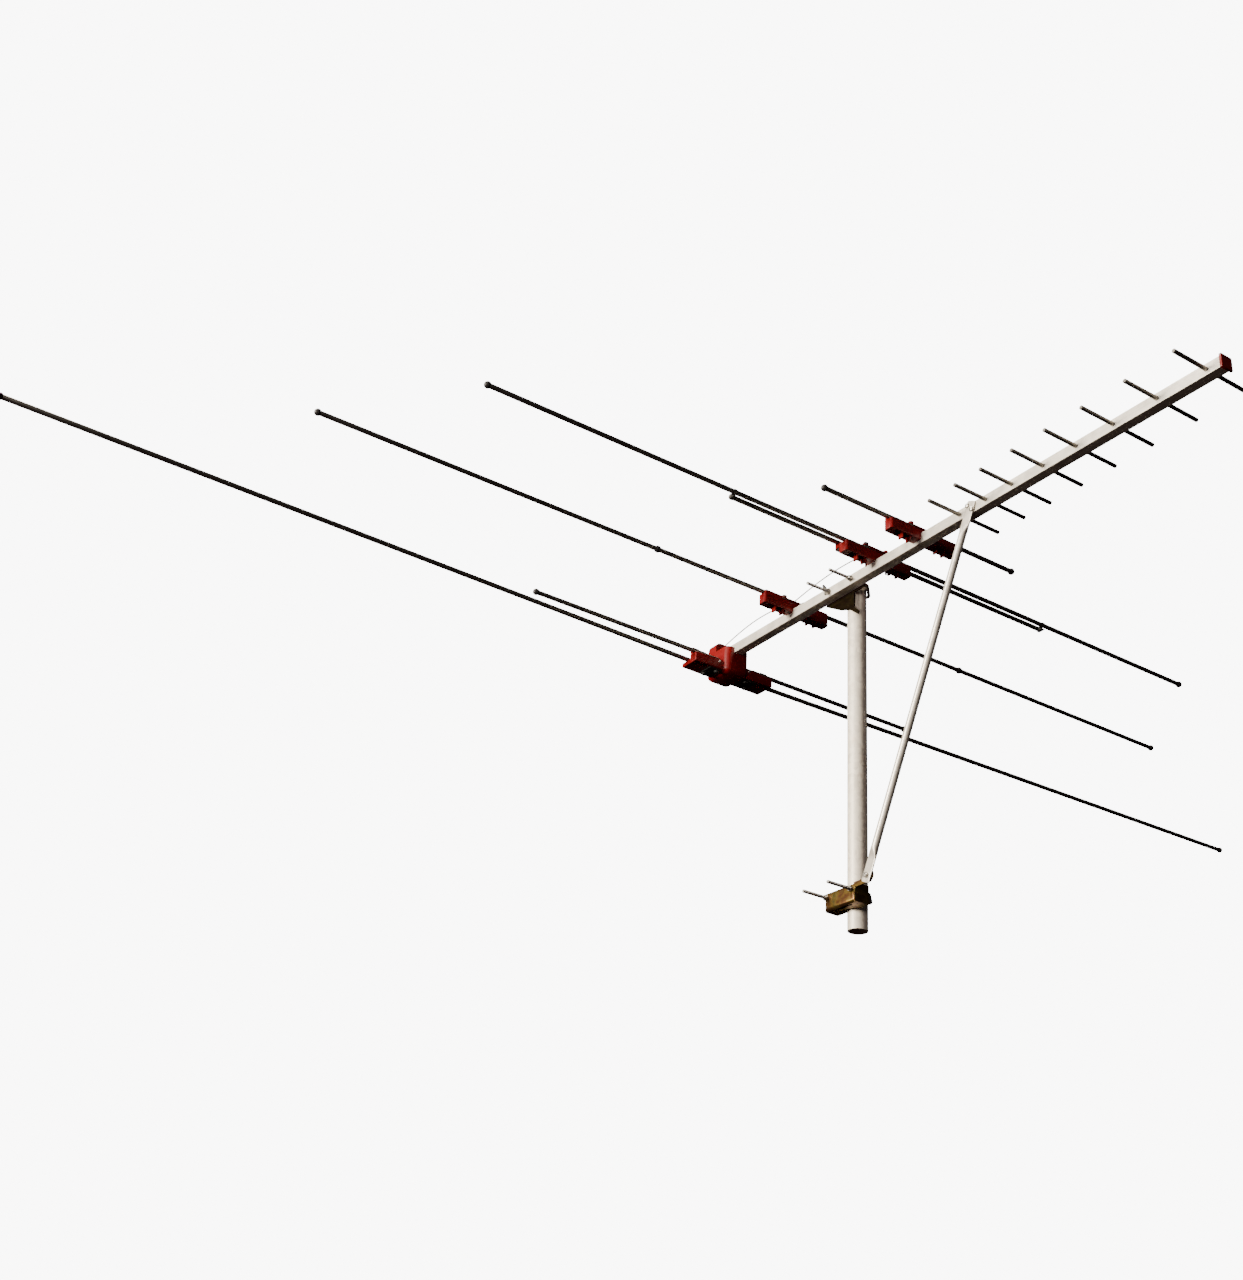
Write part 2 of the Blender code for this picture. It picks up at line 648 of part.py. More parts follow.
def make_rear_insulator(aim):
    """The stepped moulding on the boom's rear end, which carries the two rearmost pairs of rods."""
    seat_a, seat_b = seat_height(STATION_A), seat_height(STATION_B)
    low = near_boom(-REAR_REACH, REAR_FRONT_Y, REAR_BOTTOM)
    high = near_boom(REAR_REACH, REAR_BACK_Y, seat_b)
    insulator = add_part("insulator_rear", box("insulator_rear", low, high), RED, aim)
    soften(insulator, 0.0015)
    step_reach = REAR_REACH + PAST
    step_high = near_boom(step_reach, REAR_BACK_Y + PAST, seat_b + PAST)
    cut(insulator, box("step", near_boom(-step_reach, REAR_STEP_Y, seat_a), step_high))
    hump_low = near_boom(-HUMP_HALF, HUMP_FRONT_Y, HUMP_BOTTOM)
    hump = box("hump", hump_low, near_boom(HUMP_HALF, HUMP_BACK_Y, HUMP_TOP))
    soften(join(insulator, hump), 0.011, 5)
    across = HUMP_HALF + PAST
    shoulder_low = near_boom(-across, HUMP_FRONT_Y - PAST, SHOULDER_Z)
    cut(insulator, box("shoulder", shoulder_low, near_boom(across, SHOULDER_Y, HUMP_TOP + PAST)))
    slot = BOOM_SIDE / 2 + GAP
    socket_low = near_boom(-slot, HUMP_FRONT_Y - PAST, -slot)
    cut(insulator, box("socket", socket_low, near_boom(slot, BOOM_REAR + GAP, slot)))
    for _, side in SIDES:
        for start in REAR_POCKET_STARTS:
            inner, outer = span(side, start, start + REAR_POCKET_WIDTH)
            low = near_boom(inner, REAR_FRONT_Y + SKIN, REAR_BOTTOM - PAST)
            high = near_boom(outer, REAR_STEP_Y - SKIN, seat_b - SKIN)
            cut(insulator, box("pocket", low, high))
        add_boss(insulator, STATION_A, side, seat_a - 0.002)
        add_boss(insulator, STATION_B, side, seat_b - 0.002)
        end = REAR_REACH - SKIN
        add_wall(insulator, STATION_A, side, REAR_WALL_START, end, -1, REAR_WALL_THICKNESS, 0.0)
        add_wall(insulator, STATION_B, side, REAR_WALL_START, end, 1, REAR_WALL_THICKNESS, 0.010)
        cut_pin_hole(insulator, STATION_A, side)
        cut_pin_hole(insulator, STATION_B, side)


def make_pivot_strap(station, tabs, aim):
    """A bar over the tabs of both rods, with a pin down through each and a knob above it."""
    name = f"pivot_strap_{station.name}"
    bottom = station.z + TAB_THICKNESS / 2 + (tabs - 1) * COMPANION_RISE + GAP
    top = bottom + STRAP_THICKNESS
    low = near_boom(-STRAP_REACH, station.y - STRAP_HALF, bottom)
    high = near_boom(STRAP_REACH, station.y + STRAP_HALF, top)
    strap = add_part(name, box(name, low, high), RED, aim)
    soften(strap, 0.0006, 1)
    for _, side in SIDES:
        heights = (-PIN_DEPTH, top - BITE, top + KNOB_HEIGHT)
        pin_low, joint, knob_top = (pin_place(station, side, z) for z in heights)
        join(strap, round_bar("pin", pin_low, joint, PIN_RADIUS))
        soften(join(strap, round_bar("knob", joint, knob_top, KNOB_RADIUS)), 0.0015)


def make_rear_pivot(name, side, aim):
    """A plate under the rear insulator with a pin up through each rod's tab and a domed head below."""
    face = REAR_BOTTOM - GAP
    inner, outer = span(side, STATION_B.pin_x - REAR_PLATE_MARGIN, STATION_A.pin_x + REAR_PLATE_MARGIN)
    low = near_boom(inner, STATION_B.y - REAR_PLATE_MARGIN, face - STRAP_THICKNESS)
    high = near_boom(outer, STATION_A.y + REAR_PLATE_MARGIN, face)
    holder = add_part(f"rear_pivot_{name}", box("plate", low, high), BLACK, aim)
    soften(holder, 0.0006, 1)
    for station in (STATION_A, STATION_B):
        heights = (face - REAR_HEAD_HEIGHT, face - BITE, station.z + TAB_THICKNESS / 2 + 0.0015)
        head_low, joint, pin_top = (pin_place(station, side, z) for z in heights)
        join(holder, round_bar("pin", joint, pin_top, PIN_RADIUS))
        soften(join(holder, round_bar("head", head_low, joint, REAR_HEAD_RADIUS)), 0.0015)


def make_feeders(aim):
    """Two wires along the top of the boom, from the rear insulator to the strap of C and on to that of D."""
    strap_c = STATION_C.z + TAB_THICKNESS / 2 + GAP + STRAP_THICKNESS
    strap_d = strap_c + STATION_D.z - STATION_C.z + COMPANION_RISE
    rest = FEEDER_RADIUS + GAP
    apart = 0.003
    routes = (
        ("feeder_rear", (FEEDER_REAR_Y, HUMP_TOP + rest), (STATION_C.y + apart, strap_c + rest), 0.014),
        ("feeder_front", (STATION_C.y - apart, strap_c + rest), (STATION_D.y, strap_d + rest), 0.010),
    )
    for name, start, end, rise in routes:
        path = []
        for k in range(FEEDER_STEPS + 1):
            t = k / FEEDER_STEPS
            y = start[0] + (end[0] - start[0]) * t
            z = start[1] + (end[1] - start[1]) * t + rise * math.sin(math.pi * t)
            path.append(near_boom(0.0, y, z))
        add_wire(name, path, FEEDER_RADIUS, ZINC, aim)


# ---------------------------------------------------------------- folding rods


def rod_matrix(station, side):
    """Turns a rod built along +X from its pin to the way it points when it is open."""
    sweep = math.radians(station.sweep_deg)
    turn = math.pi + sweep if side < 0 else -sweep
    return Matrix.Rotation(turn, 4, "Z")


def rod_length(station):
    return station.reach - station.pin_x - CAP_CENTRE


def flatten_tab(bm, radius, rise):
    """Presses the pin end of a rod to a flat tab, raised to its place in the stack."""
    for vert in bm.verts:
        t = smooth_step((vert.co.x - TAB_FLAT_END) / (TAB_ROUND_START - TAB_FLAT_END))
        vert.co.z *= TAB_THICKNESS / 2 / radius * (1 - t) + t
        vert.co.z += rise * (1 - t)
        if not rise:
            vert.co.y *= TAB_WIDENING * (1 - t) + t


def bore_and_pin(rod, station, side, start, end, y):
    """Hollows a rod from its tip and drills its tab."""
    bore = round_bar("bore", (start, y, 0), (end + PAST, y, 0), station.diameter / 2 - ROD_WALL)
    bore.transform(rod_matrix(station, side))
    cut(rod, bore)
    cut(rod, round_bar("hole", (0, 0, -PAST), (0, 0, PAST), PIN_RADIUS + GAP))


def make_rod(station, name, side, pivot):
    radius = station.diameter / 2
    length = rod_length(station)
    bm = bmesh.new()
    start, end = -TAB_OVERHANG, length
    place = Matrix.Translation(((start + end) / 2, 0, 0)) @ Matrix.Rotation(math.pi / 2, 4, "Y")
    bmesh.ops.create_cone(
        bm, cap_ends=True, segments=16, radius1=radius, radius2=radius, depth=end - start, matrix=place
    )
    step = (TAB_ROUND_START - TAB_FLAT_END) / 3
    ring_cuts(bm, Vector((1, 0, 0)), [TAB_FLAT_END + step * k for k in range(4)])
    flatten_tab(bm, radius, 0.0)
    bm.transform(rod_matrix(station, side))
    rod = add_part(f"rod_{station.name}_{name}", finish_mesh("rod", bm), ALUMINIUM, pivot)
    bore_and_pin(rod, station, side, TAB_ROUND_START + 0.004, length, 0.0)


def make_tip_cap(station, name, side, pivot):
    plug = station.diameter / 2 - ROD_WALL - GAP
    neck = math.degrees(math.asin((GAP - CAP_CENTRE) / CAP_RADIUS))
    profile = arc(CAP_RADIUS, CAP_CENTRE, 90, neck, 7)
    profile += [(plug, GAP), (plug, -CAP_PLUG), (0.0, -CAP_PLUG)]
    cap = turned(f"tip_cap_{station.name}_{name}", profile, BLACK, pivot)
    place_on_rod(cap, station, side, rod_length(station))


def place_on_rod(obj, station, side, along, across=0.0):
    """Stands a turned piece on a rod, its top pointing outward."""
    turn = rod_matrix(station, side)
    obj.location = turn @ Vector((along, across, 0.0))
    outward = (turn @ Vector((1, 0, 0))).normalized()
    obj.rotation_mode = "QUATERNION"
    obj.rotation_quaternion = outward.to_track_quat("Z", "Y")


def make_collar(station, name, side, stop, pivot):
    """A collar part of the way along a rod."""
    inside = station.diameter / 2 + GAP
    reach = math.degrees(math.acos(inside / COLLAR_RADIUS))
    profile = arc(COLLAR_RADIUS, 0.0, reach, -reach, 8)
    collar = turned(f"collar_{station.name}_{name}", profile, BLACK, pivot, ring=True)
    place_on_rod(collar, station, side, stop - station.pin_x)


def make_companion(station, name, side, stop, pivot):
    """The short rod beside D, on the same pin, and the clip that ties its tip to the long one."""
    radius = station.diameter / 2
    length = stop - station.pin_x
    across = COMPANION_OFFSET
    path = [(-TAB_OVERHANG, 0.0, 0.0), (0.005, 0.0, 0.0)]
    path += [(0.014, 0.0070, 0.0), (0.021, 0.0125, 0.0), (0.027, 0.0150, 0.0)]
    path += [(0.034, across, 0.0), (TAB_ROUND_START, across, 0.0), (length, across, 0.0)]
    mesh = mesh_from_curve("companion", tube_curve("companion", path, radius, 3))
    bm = bmesh.new()
    bm.from_mesh(mesh)
    flatten_tab(bm, radius, COMPANION_RISE)
    turn = rod_matrix(station, side)
    y_side = side * across
    bm.transform(turn @ Matrix.Diagonal((1, side, 1, 1)))
    bmesh.ops.recalc_face_normals(bm, faces=bm.faces)
    rod = add_part(f"companion_{station.name}_{name}", finish_mesh("companion", bm), ALUMINIUM, pivot)
    bore_and_pin(rod, station, side, TAB_ROUND_START + 0.006, length, y_side)
    half = radius + CLIP_SKIN
    low = (length - CLIP_GRIP, min(0.0, y_side) - half, -half)
    high = (length + CLIP_SKIN, max(0.0, y_side) + half, half)
    clip_mesh = box("clip", low, high)
    clip_mesh.transform(turn)
    clip = add_part(f"clip_{station.name}_{name}", clip_mesh, BLACK, pivot)
    soften(clip, 0.0025)
    start = length - CLIP_GRIP - PAST
    for y, end in ((0.0, length + CLIP_SKIN + PAST), (y_side, length + GAP)):
        hole = round_bar("hole", (start, y, 0), (end, y, 0), radius + GAP)
        hole.transform(turn)
        cut(clip, hole)


def make_folding_rods():
    for station in STATIONS:
        for name, side in SIDES:
            stop = STOPS[side]
            pivot = add_empty(f"pin_axis_{station.name}_{name}", pin_place(station, side, station.z))
            make_rod(station, name, side, pivot)
            make_tip_cap(station, name, side, pivot)
            if station is STATION_C:
                make_collar(station, name, side, stop, pivot)
            if station is STATION_D:
                make_companion(station, name, side, stop, pivot)


clear_scene()
aim_axis = add_empty("aim_axis", (0.0, 0.0, 0.0))
make_mast()
make_boom(aim_axis)
make_front_cap(aim_axis)
make_directors(aim_axis)
make_bracket(aim_axis)
make_v_bolt("upper_v_bolt", BOOM_HEIGHT, aim_axis)
make_v_bolt("lower_v_bolt", LOWER_CLAMP_Z, aim_axis)
make_wing_nut("wing_nut_front", -LEG_SPREAD, 30, aim_axis)
make_wing_nut("wing_nut_rear", LEG_SPREAD, 75, aim_axis)
make_clamp_nut("clamp_nut_front", -LEG_SPREAD, aim_axis)
make_clamp_nut("clamp_nut_rear", LEG_SPREAD, aim_axis)
make_saddle(aim_axis)
make_brace(aim_axis)
make_brace_fixings(aim_axis)
make_rear_insulator(aim_axis)
make_insulator(STATION_C, -1, 0.001, aim_axis)
make_insulator(STATION_D, 1, 0.001, aim_axis)
make_insulator(STATION_E, 1, 0.003, aim_axis)
make_pivot_strap(STATION_C, 1, aim_axis)
make_pivot_strap(STATION_D, 2, aim_axis)
make_pivot_strap(STATION_E, 1, aim_axis)
for side_name, side_sign in SIDES:
    make_rear_pivot(side_name, side_sign, aim_axis)
make_feeders(aim_axis)
make_folding_rods()
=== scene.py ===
"""Looks of a folding VHF/UHF yagi antenna: rods, fasteners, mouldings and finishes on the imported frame."""
import json
import math
from collections import namedtuple

import bmesh
import bpy
from mathutils import Matrix, Vector


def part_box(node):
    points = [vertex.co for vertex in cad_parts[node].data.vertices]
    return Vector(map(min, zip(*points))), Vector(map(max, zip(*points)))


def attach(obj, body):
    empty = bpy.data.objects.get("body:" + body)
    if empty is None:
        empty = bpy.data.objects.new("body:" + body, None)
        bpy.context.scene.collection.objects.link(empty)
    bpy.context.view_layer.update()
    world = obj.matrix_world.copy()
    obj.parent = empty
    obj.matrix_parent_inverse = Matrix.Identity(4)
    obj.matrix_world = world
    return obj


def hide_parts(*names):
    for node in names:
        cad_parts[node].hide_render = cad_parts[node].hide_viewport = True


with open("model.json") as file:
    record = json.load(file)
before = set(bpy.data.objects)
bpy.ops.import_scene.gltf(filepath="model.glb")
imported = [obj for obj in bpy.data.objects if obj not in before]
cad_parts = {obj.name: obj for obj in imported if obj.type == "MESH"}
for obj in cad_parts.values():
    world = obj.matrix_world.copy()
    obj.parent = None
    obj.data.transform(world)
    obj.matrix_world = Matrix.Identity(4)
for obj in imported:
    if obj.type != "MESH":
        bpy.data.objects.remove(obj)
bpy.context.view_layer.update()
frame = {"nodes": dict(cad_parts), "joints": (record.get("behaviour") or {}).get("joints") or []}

JOINTS = {joint["name"]: joint for joint in frame["joints"]}
SIDES = ("left", "right")
FIXED = "antenna"

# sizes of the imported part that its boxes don't give, in metres apart from the two widenings
BALL_RADIUS = 0.0063
BALL_CENTRE = 0.0040
TAB_HALF = 0.00125
TAB_FLAT = 0.022
TAB_ROUND = 0.040
TAB_NOSE = 0.006
TAB_WIDENING = 1.35
COMPANION_ACROSS = 0.016
COMPANION_RISE = 0.0028
BOLT_RADIUS = 0.003
LUG_THICKNESS = 0.003
BRACE_OVERHANG = 0.012
BRACE_FLAT_END = 0.026
BRACE_ROUND_START = 0.050
BRACE_FLAT = 0.003
BRACE_WIDENING = 1.5
SCREW_SHANK = 0.0023
SCREW_HEAD_HEIGHT = 0.0028
FOOT_NUT_THICKNESS = 0.0042
WING_DEPTH = 0.0105
ROD_SEAT = 0.005
STRAP_THICKNESS = 0.002
KNOB_RADIUS = 0.005
KNOB_HEIGHT = 0.007
REAR_FACE_Y = 0.333
PLATE_GAP = 0.0003

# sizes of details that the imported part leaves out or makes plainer, in metres
BORE_GAP = 0.0002
THREAD_PITCH = 0.0010
THREAD_LENGTH = 0.046
THREAD_DEPTH = 0.00042
THREAD_FADE = 0.002
LEG_CHAMFER = 0.0010
LEG_CHAMFER_DEPTH = 0.0007
BOLT_TIP_BEND = 0.006
BOLT_LEG_BEND = 0.008
SADDLE_ABOVE_BOLT = 0.0075
SADDLE_ROLL = 0.007
SKIRT_LENGTH = 0.0105
SKIRT_DEPTH = 0.0014
CRIMP_START = 0.046
CRIMP_END = 0.049
SCREW_RIM = 0.0016
FOOT_SHANK_RADIUS = 0.0027
CROSS_REACH = 0.0022
CROSS_HALF = 0.0005
CROSS_DEPTH = 0.0013
WING_CORNER = 0.006
GROOVE_START = 0.024
GROOVE_STEP = 0.0052
GROOVE_HALF = 0.0009
GROOVE_DEPTH = 0.0007
GROOVE_TOP = 0.0045
GROOVE_BOTTOM = 0.0165
STRAP_CORNER = 0.0055
STRAP_PIN_RADIUS = 0.0019
RIVET_REACH = 0.036
RIVET_Z = 0.617

# the angle in degrees past which an edge looks sharp
SHARP_ANGLE = 35.0

# counts of repeated details and of flat sides
GROOVES = 9
KNOB_FLUTES = 14
SIDES_PER_FLUTE = 6
BAR_SIDES = 20
NUT_SIDES = 72
ROUNDS_PER_PITCH = 6

# the camera's place in metres, its turns in degrees and its lens and sensor in millimetres
CAMERA_PLACE = (-1.7794, -2.0693, -0.9103)
CAMERA_HEADING = 31.663
CAMERA_PITCH = 27.908
CAMERA_ROLL = 4.107
CAMERA_LENS = 47.31
CAMERA_SENSOR = 36.0

# the floor's height and reach and the point that lamps aim at, in metres
FLOOR_LEVEL = -1.05
FLOOR_REACH = 14.0
LAMP_AIM = (0.0, -0.1, 0.5)

# how strongly the floor and the studio show to the camera, and how strongly the studio lights the antenna
FLOOR_GLOW = 2.2
STUDIO_SEEN = 9.0
STUDIO_FELT = 0.03


# ------------------------------------------------------------------ materials


def scaled(colour, share):
    return tuple(level * share for level in colour)


class Finish:
    """A Principled material and short ways to wire texture into it."""

    def __init__(self, name, roughness, metallic):
        self.material = bpy.data.materials.new(name)
        self.material.use_nodes = True
        self.nodes = self.material.node_tree.nodes
        self.links = self.material.node_tree.links
        self.shader = self.nodes["Principled BSDF"]
        self.shader.inputs["Roughness"].default_value = roughness
        self.shader.inputs["Metallic"].default_value = metallic
        self.place = self.nodes.new("ShaderNodeTexCoord")

    def noise(self, scale, detail, stretch=(1, 1, 1)):
        mapping = self.nodes.new("ShaderNodeMapping")
        mapping.inputs["Scale"].default_value = stretch
        texture = self.nodes.new("ShaderNodeTexNoise")
        texture.inputs["Scale"].default_value = scale
        texture.inputs["Detail"].default_value = detail
        texture.inputs["Roughness"].default_value = 0.55
        self.links.new(self.place.outputs["Object"], mapping.inputs["Vector"])
        self.links.new(mapping.outputs["Vector"], texture.inputs["Vector"])
        return texture.outputs["Fac"]

    def cells(self, scale):
        texture = self.nodes.new("ShaderNodeTexVoronoi")
        texture.inputs["Scale"].default_value = scale
        self.links.new(self.place.outputs["Object"], texture.inputs["Vector"])
        return texture.outputs["Color"]

    def ramp(self, value, stops):
        """A value turned into colour. The stops are (position, colour or grey level)."""
        ramp = self.nodes.new("ShaderNodeValToRGB")
        while len(ramp.color_ramp.elements) < len(stops):
            ramp.color_ramp.elements.new(0.5)
        for element, (position, colour) in zip(ramp.color_ramp.elements, stops):
            element.position = position
            rgb = colour if isinstance(colour, tuple) else (colour,) * 3
            element.color = (*rgb, 1.0)
        self.links.new(value, ramp.inputs["Fac"])
        return ramp.outputs["Color"]

    def mask(self, value, start, end, strength):
        """A grey level that rises from nothing to a strength as a value goes from start to end."""
        return self.ramp(value, ((start, 0.0), (end, strength)))

    def mix(self, factor, first, second, blend="MIX"):
        mix = self.nodes.new("ShaderNodeMix")
        mix.data_type = "RGBA"
        mix.blend_type = blend
        for socket, value in (("Factor", factor), ("A", first), ("B", second)):
            index = {"Factor": 0, "A": 6, "B": 7}[socket]
            if isinstance(value, bpy.types.NodeSocket):
                self.links.new(value, mix.inputs[index])
            elif isinstance(value, tuple):
                mix.inputs[index].default_value = (*value, 1.0)
            else:
                mix.inputs[index].default_value = value
        return mix.outputs[2]

    def upward(self, low, high):
        """How far a surface faces the sky, as a mask."""
        geometry = self.nodes.new("ShaderNodeNewGeometry")
        split = self.nodes.new("ShaderNodeSeparateXYZ")
        self.links.new(geometry.outputs["Normal"], split.inputs["Vector"])
        spread = self.nodes.new("ShaderNodeMapRange")
        spread.inputs["From Min"].default_value = low
        spread.inputs["From Max"].default_value = high
        self.links.new(split.outputs["Z"], spread.inputs["Value"])
        return spread.outputs["Result"]

    def worn_edges(self):
        geometry = self.nodes.new("ShaderNodeNewGeometry")
        return self.mask(geometry.outputs["Pointiness"], 0.52, 0.60, 1.0)

    def colour(self, value):
        self.links.new(value, self.shader.inputs["Base Color"])

    def roughness(self, value, low, high):
        spread = self.nodes.new("ShaderNodeMapRange")
        spread.inputs["To Min"].default_value = low
        spread.inputs["To Max"].default_value = high
        self.links.new(value, spread.inputs["Value"])
        self.links.new(spread.outputs["Result"], self.shader.inputs["Roughness"])

    def bump(self, value, distance, strength):
        bump = self.nodes.new("ShaderNodeBump")
        bump.inputs["Strength"].default_value = strength
        bump.inputs["Distance"].default_value = distance
        self.links.new(value, bump.inputs["Height"])
        self.links.new(bump.outputs["Normal"], self.shader.inputs["Normal"])


CLEAN_ALUMINIUM = (0.90, 0.84, 0.75)
TARNISH = ((0.30, 0.66), (0.55, 0.86), (0.75, 1.0))


def drawn_aluminium(name, stretch, shade, metallic):
    """Bare drawn tube: fine lines along its length, dull oxide blotches and a few darker specks. The shade
    factor darkens all but the specks; a low factor is painted shade.
    """
    finish = Finish(name, 0.38, metallic)
    lines = finish.noise(1.0, 3.0, stretch)
    blotch = finish.noise(38.0, 5.0)
    specks = finish.noise(420.0, 2.0)
    tones = tuple((place, scaled(CLEAN_ALUMINIUM, share * shade)) for place, share in TARNISH)
    base = finish.ramp(blotch, tones)
    base = finish.mix(finish.mask(lines, 0.35, 0.70, 0.35), base, scaled((0.36, 0.34, 0.31), shade))
    base = finish.mix(finish.mask(specks, 0.68, 0.74, 0.5), base, (0.20, 0.18, 0.16))
    finish.colour(base)
    finish.roughness(finish.mix(0.5, lines, blotch), 0.28, 0.52)
    finish.bump(lines, 0.00012, 0.35)
    return finish.material


def galvanised(name):
    """Hot-dip zinc: crystal spangle, pale weathering, brown rust drifts and a slightly uneven skin."""
    finish = Finish(name, 0.5, 0.25)
    spangle = finish.cells(130.0)
    drift = finish.noise(14.0, 5.0, (1, 1, 0.35))
    rust = finish.noise(34.0, 6.0, (1, 1, 0.5))
    base = finish.ramp(spangle, ((0.2, (0.66, 0.60, 0.51)), (0.8, (0.82, 0.75, 0.64))))
    base = finish.mix(finish.mask(drift, 0.40, 0.72, 0.55), base, (0.88, 0.81, 0.70))
    base = finish.mix(finish.mask(rust, 0.60, 0.72, 0.45), base, (0.42, 0.24, 0.12))
    finish.colour(base)
    finish.roughness(finish.mix(0.5, spangle, drift), 0.38, 0.62)
    finish.bump(drift, 0.0004, 0.3)
    return finish.material


def plated_steel(name):
    """Zinc-plated fasteners, dulled outdoors, with rust-brown specks."""
    finish = Finish(name, 0.32, 0.95)
    cloud = finish.noise(160.0, 5.0)
    spots = finish.noise(520.0, 3.0)
    base = finish.ramp(cloud, ((0.30, (0.36, 0.34, 0.31)), (0.65, (0.60, 0.58, 0.54))))
    base = finish.mix(finish.mask(spots, 0.64, 0.74, 0.7), base, (0.16, 0.08, 0.04))
    finish.colour(base)
    finish.roughness(cloud, 0.24, 0.52)
    finish.bump(cloud, 0.00015, 0.25)
    return finish.material


OLIVE_AND_ROSE = (
    (0.28, (0.10, 0.10, 0.03)),
    (0.45, (0.30, 0.19, 0.045)),
    (0.58, (0.17, 0.07, 0.03)),
    (0.72, (0.21, 0.17, 0.05)),
)


def yellow_chromate(name, shade):
    """Yellow-passivated zinc with its olive and rose bands and dirt patches, all darkened by a shade factor;
    a low factor is painted shade.
    """
    finish = Finish(name, 0.34, 0.9)
    bands = finish.noise(46.0, 3.0, (1, 1, 1.8))
    dirt = finish.noise(150.0, 5.0)
    base = finish.ramp(bands, tuple((place, scaled(tone, shade)) for place, tone in OLIVE_AND_ROSE))
    base = finish.mix(finish.mask(dirt, 0.52, 0.75, 0.65), base, scaled((0.15, 0.10, 0.06), shade))
    finish.colour(base)
    finish.roughness(dirt, 0.26, 0.5)
    finish.bump(dirt, 0.0002, 0.25)
    return finish.material


def moulded_plastic(name, deep, bleached, roughness=0.36):
    """Injection-moulded plastic with a fine grain, bleached on worn edges and where it faces the sky."""
    finish = Finish(name, roughness, 0.0)
    grain = finish.noise(2600.0, 2.0)
    flow = finish.noise(55.0, 4.0, (0.5, 1, 1))
    patches = finish.ramp(flow, ((0.25, 0.35), (0.75, 1.0)))
    bleach = finish.mix(1.0, finish.upward(0.25, 1.0), patches, "MULTIPLY")
    base = finish.mix(finish.mask(flow, 0.35, 0.70, 0.45), deep, scaled(deep, 1.35))
    base = finish.mix(bleach, base, bleached)
    base = finish.mix(finish.worn_edges(), base, bleached)
    finish.colour(base)
    finish.roughness(flow, roughness - 0.06, roughness + 0.14)
    finish.bump(grain, 0.00006, 0.35)
    finish.shader.inputs["Specular IOR Level"].default_value = 0.28
    return finish.material


# how a texture is stretched into fine lines along one axis
ALONG_X = (3.0, 700.0, 700.0)
ALONG_Y = (700.0, 3.0, 700.0)
ALONG_Z = (700.0, 700.0, 3.0)
# painted shade: the rods, companions and directors get aluminium darkened to about a third of clean metal
PAINTED_SHADE_ALUMINIUM_ROD = drawn_aluminium("drawn_aluminium_rod_painted_shade", ALONG_X, 0.34, 0.95)
ALUMINIUM_BOOM = drawn_aluminium("drawn_aluminium_boom", ALONG_Y, 1.0, 0.30)
ALUMINIUM_BRACE = drawn_aluminium("drawn_aluminium_brace", ALONG_Z, 0.92, 0.45)
GALVANISED = galvanised("galvanised_tube")
PLATED = plated_steel("bright_zinc")
CHROMATE = yellow_chromate("yellow_zinc", 0.7)
# painted shade: yellow zinc darkened almost to black for the mast bracket, which hangs in shadow under the
# boom
PAINTED_SHADE_CHROMATE = yellow_chromate("painted_shade_yellow_zinc", 0.08)
RED = moulded_plastic("red_plastic", (0.140, 0.0009, 0.0022), (0.15, 0.002, 0.002))
BLACK = moulded_plastic("black_plastic", (0.010, 0.009, 0.009), (0.035, 0.033, 0.031), 0.45)
BROWN = moulded_plastic("brown_plastic", (0.045, 0.022, 0.010), (0.090, 0.050, 0.028), 0.45)


# ------------------------------------------------------------------ mesh helpers


def shaded(name, bm, angle=SHARP_ANGLE):
    """A mesh that looks smooth but for edges sharper than an angle in degrees."""
    bmesh.ops.recalc_face_normals(bm, faces=bm.faces)
    mesh = bpy.data.meshes.new(name)
    bm.to_mesh(mesh)
    bm.free()
    mesh.shade_smooth()
    mesh.set_sharp_from_angle(angle=math.radians(angle))
    return mesh


def add_piece(name, mesh, material, body, replaces=(), place=None):
    """One visible piece on a body of the frame, standing for the CAD nodes it replaces."""
    obj = bpy.data.objects.new(name, mesh)
    bpy.context.scene.collection.objects.link(obj)
    mesh.materials.append(material)
    if place is not None:
        obj.matrix_world = place
    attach(obj, body)
    if replaces:
        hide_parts(*replaces)
    return obj


def soften(obj, width):
    """Rounds a piece's sharp edges over by a width."""
    step = obj.modifiers.new("rounded edges", "BEVEL")
    step.width = width
    step.segments = 3
    step.limit_method = "ANGLE"
    step.angle_limit = math.radians(40)
    step.harden_normals = True


def loft(rings, closed=False):
    """A skin over rings of equally many points: flat at both ends, or closed into a loop."""
    bm = bmesh.new()
    rows = [[bm.verts.new(point) for point in ring] for ring in rings]
    count = len(rows[0])
    following = rows[1:] + rows[:1] if closed else rows[1:]
    for lower, upper in zip(rows, following):
        for k in range(count):
            bm.faces.new((lower[k], lower[(k + 1) % count], upper[(k + 1) % count], upper[k]))
    if not closed:
        bm.faces.new(rows[0])
        bm.faces.new(rows[-1])
    return bm


def cube(low, high):
    bm = bmesh.new()
    place = Matrix.Translation((low + high) / 2) @ Matrix.Diagonal((*(high - low), 1.0))
    bmesh.ops.create_cube(bm, size=1.0, matrix=place)
    return bm


def rounded_box(low, high, corner, edge):
    """A moulded block: its upright corners rounded by one radius and its other edges by another."""
    low, high = Vector(low), Vector(high)
    bm = cube(low, high)
    upright = [e for e in bm.edges if abs(e.verts[0].co.z - e.verts[1].co.z) > 0.5 * (high - low).z]
    bmesh.ops.bevel(bm, geom=upright, offset=corner, segments=8, profile=0.5, affect="EDGES")
    rims = [e for e in bm.edges if e.calc_face_angle(0.0) > math.radians(60)]
    bmesh.ops.bevel(bm, geom=rims, offset=edge, segments=3, profile=0.5, affect="EDGES")
    return shaded("block", bm)


